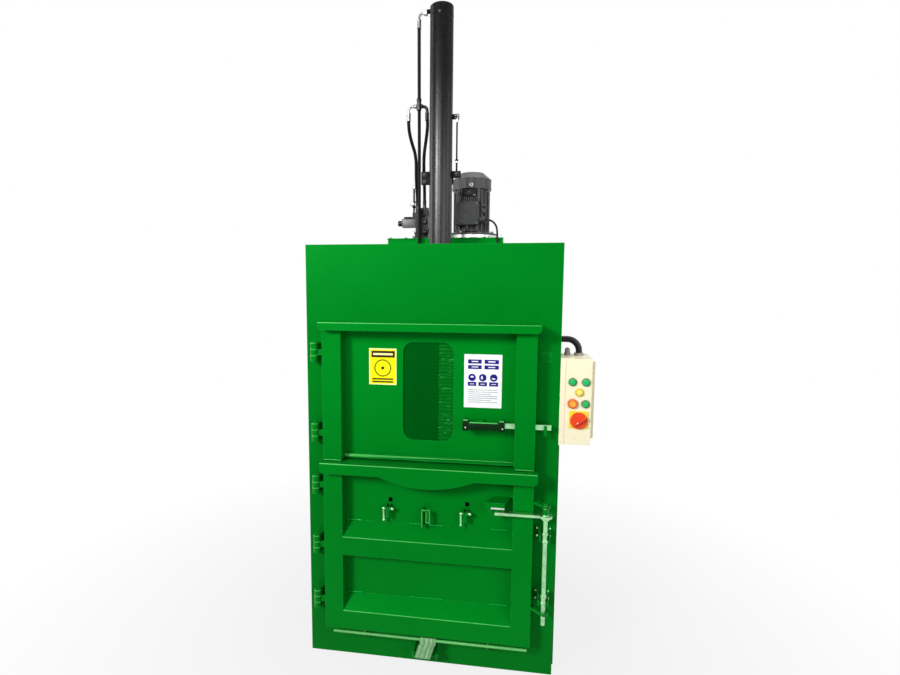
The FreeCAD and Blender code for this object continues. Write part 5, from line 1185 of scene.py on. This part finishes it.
def motor_details():
    """Ring and bolts of the flange, blank plate, bars, terminal lid, the cowl's screws, and grey rings
    painted as highlights on the cowl's rims.
    """
    x, y = MOTOR
    ring = Shape().lathe((x, y, TANK_TOP + 1), "z", [(120, 0), (127.3, 0.4), (127.3, 14.6), (120, 15)], 96)
    ring.place("flange_ring", "bright")
    bolts = Shape()
    for out in around(8, 0.5):
        bolts.bolt((x + 108 * out[0], y + 108 * out[1], 1800), "z", 16, 9)
    bolts.place("flange_bolts", "dark_steel")

    plate, rivets, bars = Shape(), Shape(), Shape()
    plate.box((69, 146), (208.5, 214), (1970, 2007), 1.0)
    plate.box((72, 143), (207.6, 209), (1973, 2004), 0.4)
    for px in (70.5, 144.5):
        for pz in (1972, 2005):
            rivets.dome_screw((px, 208.5, pz), "-y", 1.9, 1.2)
    rivets.box((128, 141), (207.1, 208), (1975, 1980), 0.2)
    for k in range(4):
        rivets.box((73.5, 76), (207.1, 208), (1976 + 7 * k, 1979 + 7 * k), 0.2)
    for k in range(11):
        left = 58 + 9.4 * k
        bars.box((left, left + 4), (206, 222), (1944, 1969), 0.8)
    for left, right in ((54, 66), (149, 163)):
        bars.box((left, right), (209, 226), (1944, 2009), 1.5)
    for low, high in ((1850, 1880), (1896, 1916), (1925, 1937)):
        bars.box((171, 183), (224, 240), (low, high), 1.5)
    plate.place("nameplate", "black_fitting", slot="black_plastic")
    rivets.place("nameplate_rivets", "pale_grey_marks_and_highlights")
    bars.place("motor_bars", "motor")

    lid = Shape()
    front, behind = 165.4, 168.5
    for z in ((1835, 1841), (1933, 1939)):
        lid.box((52, 155), (front, behind), z, 1.2)
    for left in (51, 150):
        lid.box((left, left + 6), (front, behind), (1836, 1938), 1.2)
    lid.box((96, 112), (176, 206), (1806, 1836), 3)
    lid.lathe((157, 192, 1860), "x", [(13, 0), (13, 9), (11.5, 10), (11.5, 22), (9, 26), (6.5, 27)], 6)
    lid.place("terminal_lid", "motor_box")
    screws = Shape()
    for sx in (57, 150):
        for sz in (1841, 1933):
            screws.socket_screw((sx, front, sz), "-y", 3.8, 2.6)
    screws.place("terminal_screws", "dark_steel")

    hollow = [(7.6, 0), (8.2, 0.6), (8.2, 3), (6.6, 4), (5.2, 3.2), (5.2, 1)]
    eye = Shape().lathe((120, 206.4, 2024), "-y", hollow, 24)
    eye.place("cowl_ring_screw", "bright")
    heads = Shape()
    heads.lathe((120, 205.4, 2024), "-y", [(5.1, 0), (5.1, 1.2), (4.4, 1.6)], 6)
    for out in around(12, 0.24):
        heads.dome_screw((x + 93.8 * out[0], y + 93.8 * out[1], 2018), out, 3.4, 2)
    heads.place("cowl_screws", "dark_steel")
    # grey rings painted as highlights along the rims of the fan cowl
    rim = Shape()
    for radius, z in ((94, 2059), (60.4, 2088.6)):
        thin_ring(rim, MOTOR, radius, z)
    rim.place("cowl_rim_highlights", "pale_grey_marks_and_highlights", slot="motor_grey")


def tank_details():
    """Lid screws, weld seams, level glass and drain plug of the oil tank."""
    screws = Shape()
    front, back = TANK_Y
    left, right = TANK_X
    places = [(left + 11 + 75 * k, y) for k in range(8) for y in (front + 4, back - 4)]
    places += [(x, y) for x in (left + 5, right - 5) for y in (247, 310, 373)]
    for x, y in places:
        if dist((x, y), MOTOR) > 136 and dist((x, y), (256, 200)) > 20:
            screws.bolt((x, y, TANK_TOP), "z", 9, 2.5)
    screws.place("lid_screws", "green")
    seam = Shape()
    for x in TANK_X:
        for y in TANK_Y:
            seam.bead((x, y, DECK_Z + 4), (x, y, DECK_Z + 160), 2.2)
    for y in TANK_Y:
        seam.bead((left + 2, y, DECK_Z + 1), (right - 2, y, DECK_Z + 1), 3)
    seam.place("tank_welds", "weld")
    gauge = 192
    glass = Shape().box((gauge - 12, gauge + 12), (back, back + 7), (1640, 1738), 3)
    glass.place("level_frame", "black_fitting", slot="black_plastic")
    column = Shape().lathe((gauge, back + 5, 1656), "z", [(4.4, 0), (5, 1), (5, 65), (4.4, 66)], 16)
    column.place("level_tube", "oil_tube")
    fittings = Shape()
    for z in (1648, 1730):
        fittings.lathe((gauge, back + 7, z), "y", [(7, 0), (7, 3), (5.5, 4)], 6)
    fittings.lathe((-230, back, 1630), "y", [(15, 0), (15, 2), (11, 2.5), (11, 10), (9.5, 11)], 6)
    fittings.place("tank_plugs", "fitting")


bpy.context.scene.view_settings.view_transform = "Standard"
dress_nodes()
place_camera()
light_world()
area_lamp("key", (-3.0, -4.4, 3.3), (0, -0.3, 1.5), (1.2, 1.2), 258)
area_lamp("fill", (3.0, -3.4, 2.0), (0.1, -0.3, 1.2), (2.6, 2.6), 48)
area_lamp("left_strip", (-2.96, 0.47, 3.0), (0, 0, 2.1), (0.5, 2.6), 24)
area_lamp("right_strip", (3.0, -0.5, 3.0), (0, 0, 2.2), (1.0, 2.0), 13)
area_lamp("front_strip", (-0.5, -3.4, 2.9), (0, 0, 2.15), (1.0, 1.3), 4, spread=50)
area_lamp("top", (0.3, 0.2, 5.0), (0, 0, 1.5), (3.0, 3.0), 48)
lay_floor()
for name in LINES:
    lay_line(name)
yellow_plate()
white_sheet()
latch_grip()
brake_cams()
lock_details()
painted_edge_highlights()
rail_welds()
plate_welds()
wall_welds()
saddle_screws()
ejector_belt()
box_details()
hydraulic_fittings()
stay_rod_ends()
cylinder_seam()
valve_details()
motor_details()
tank_details()
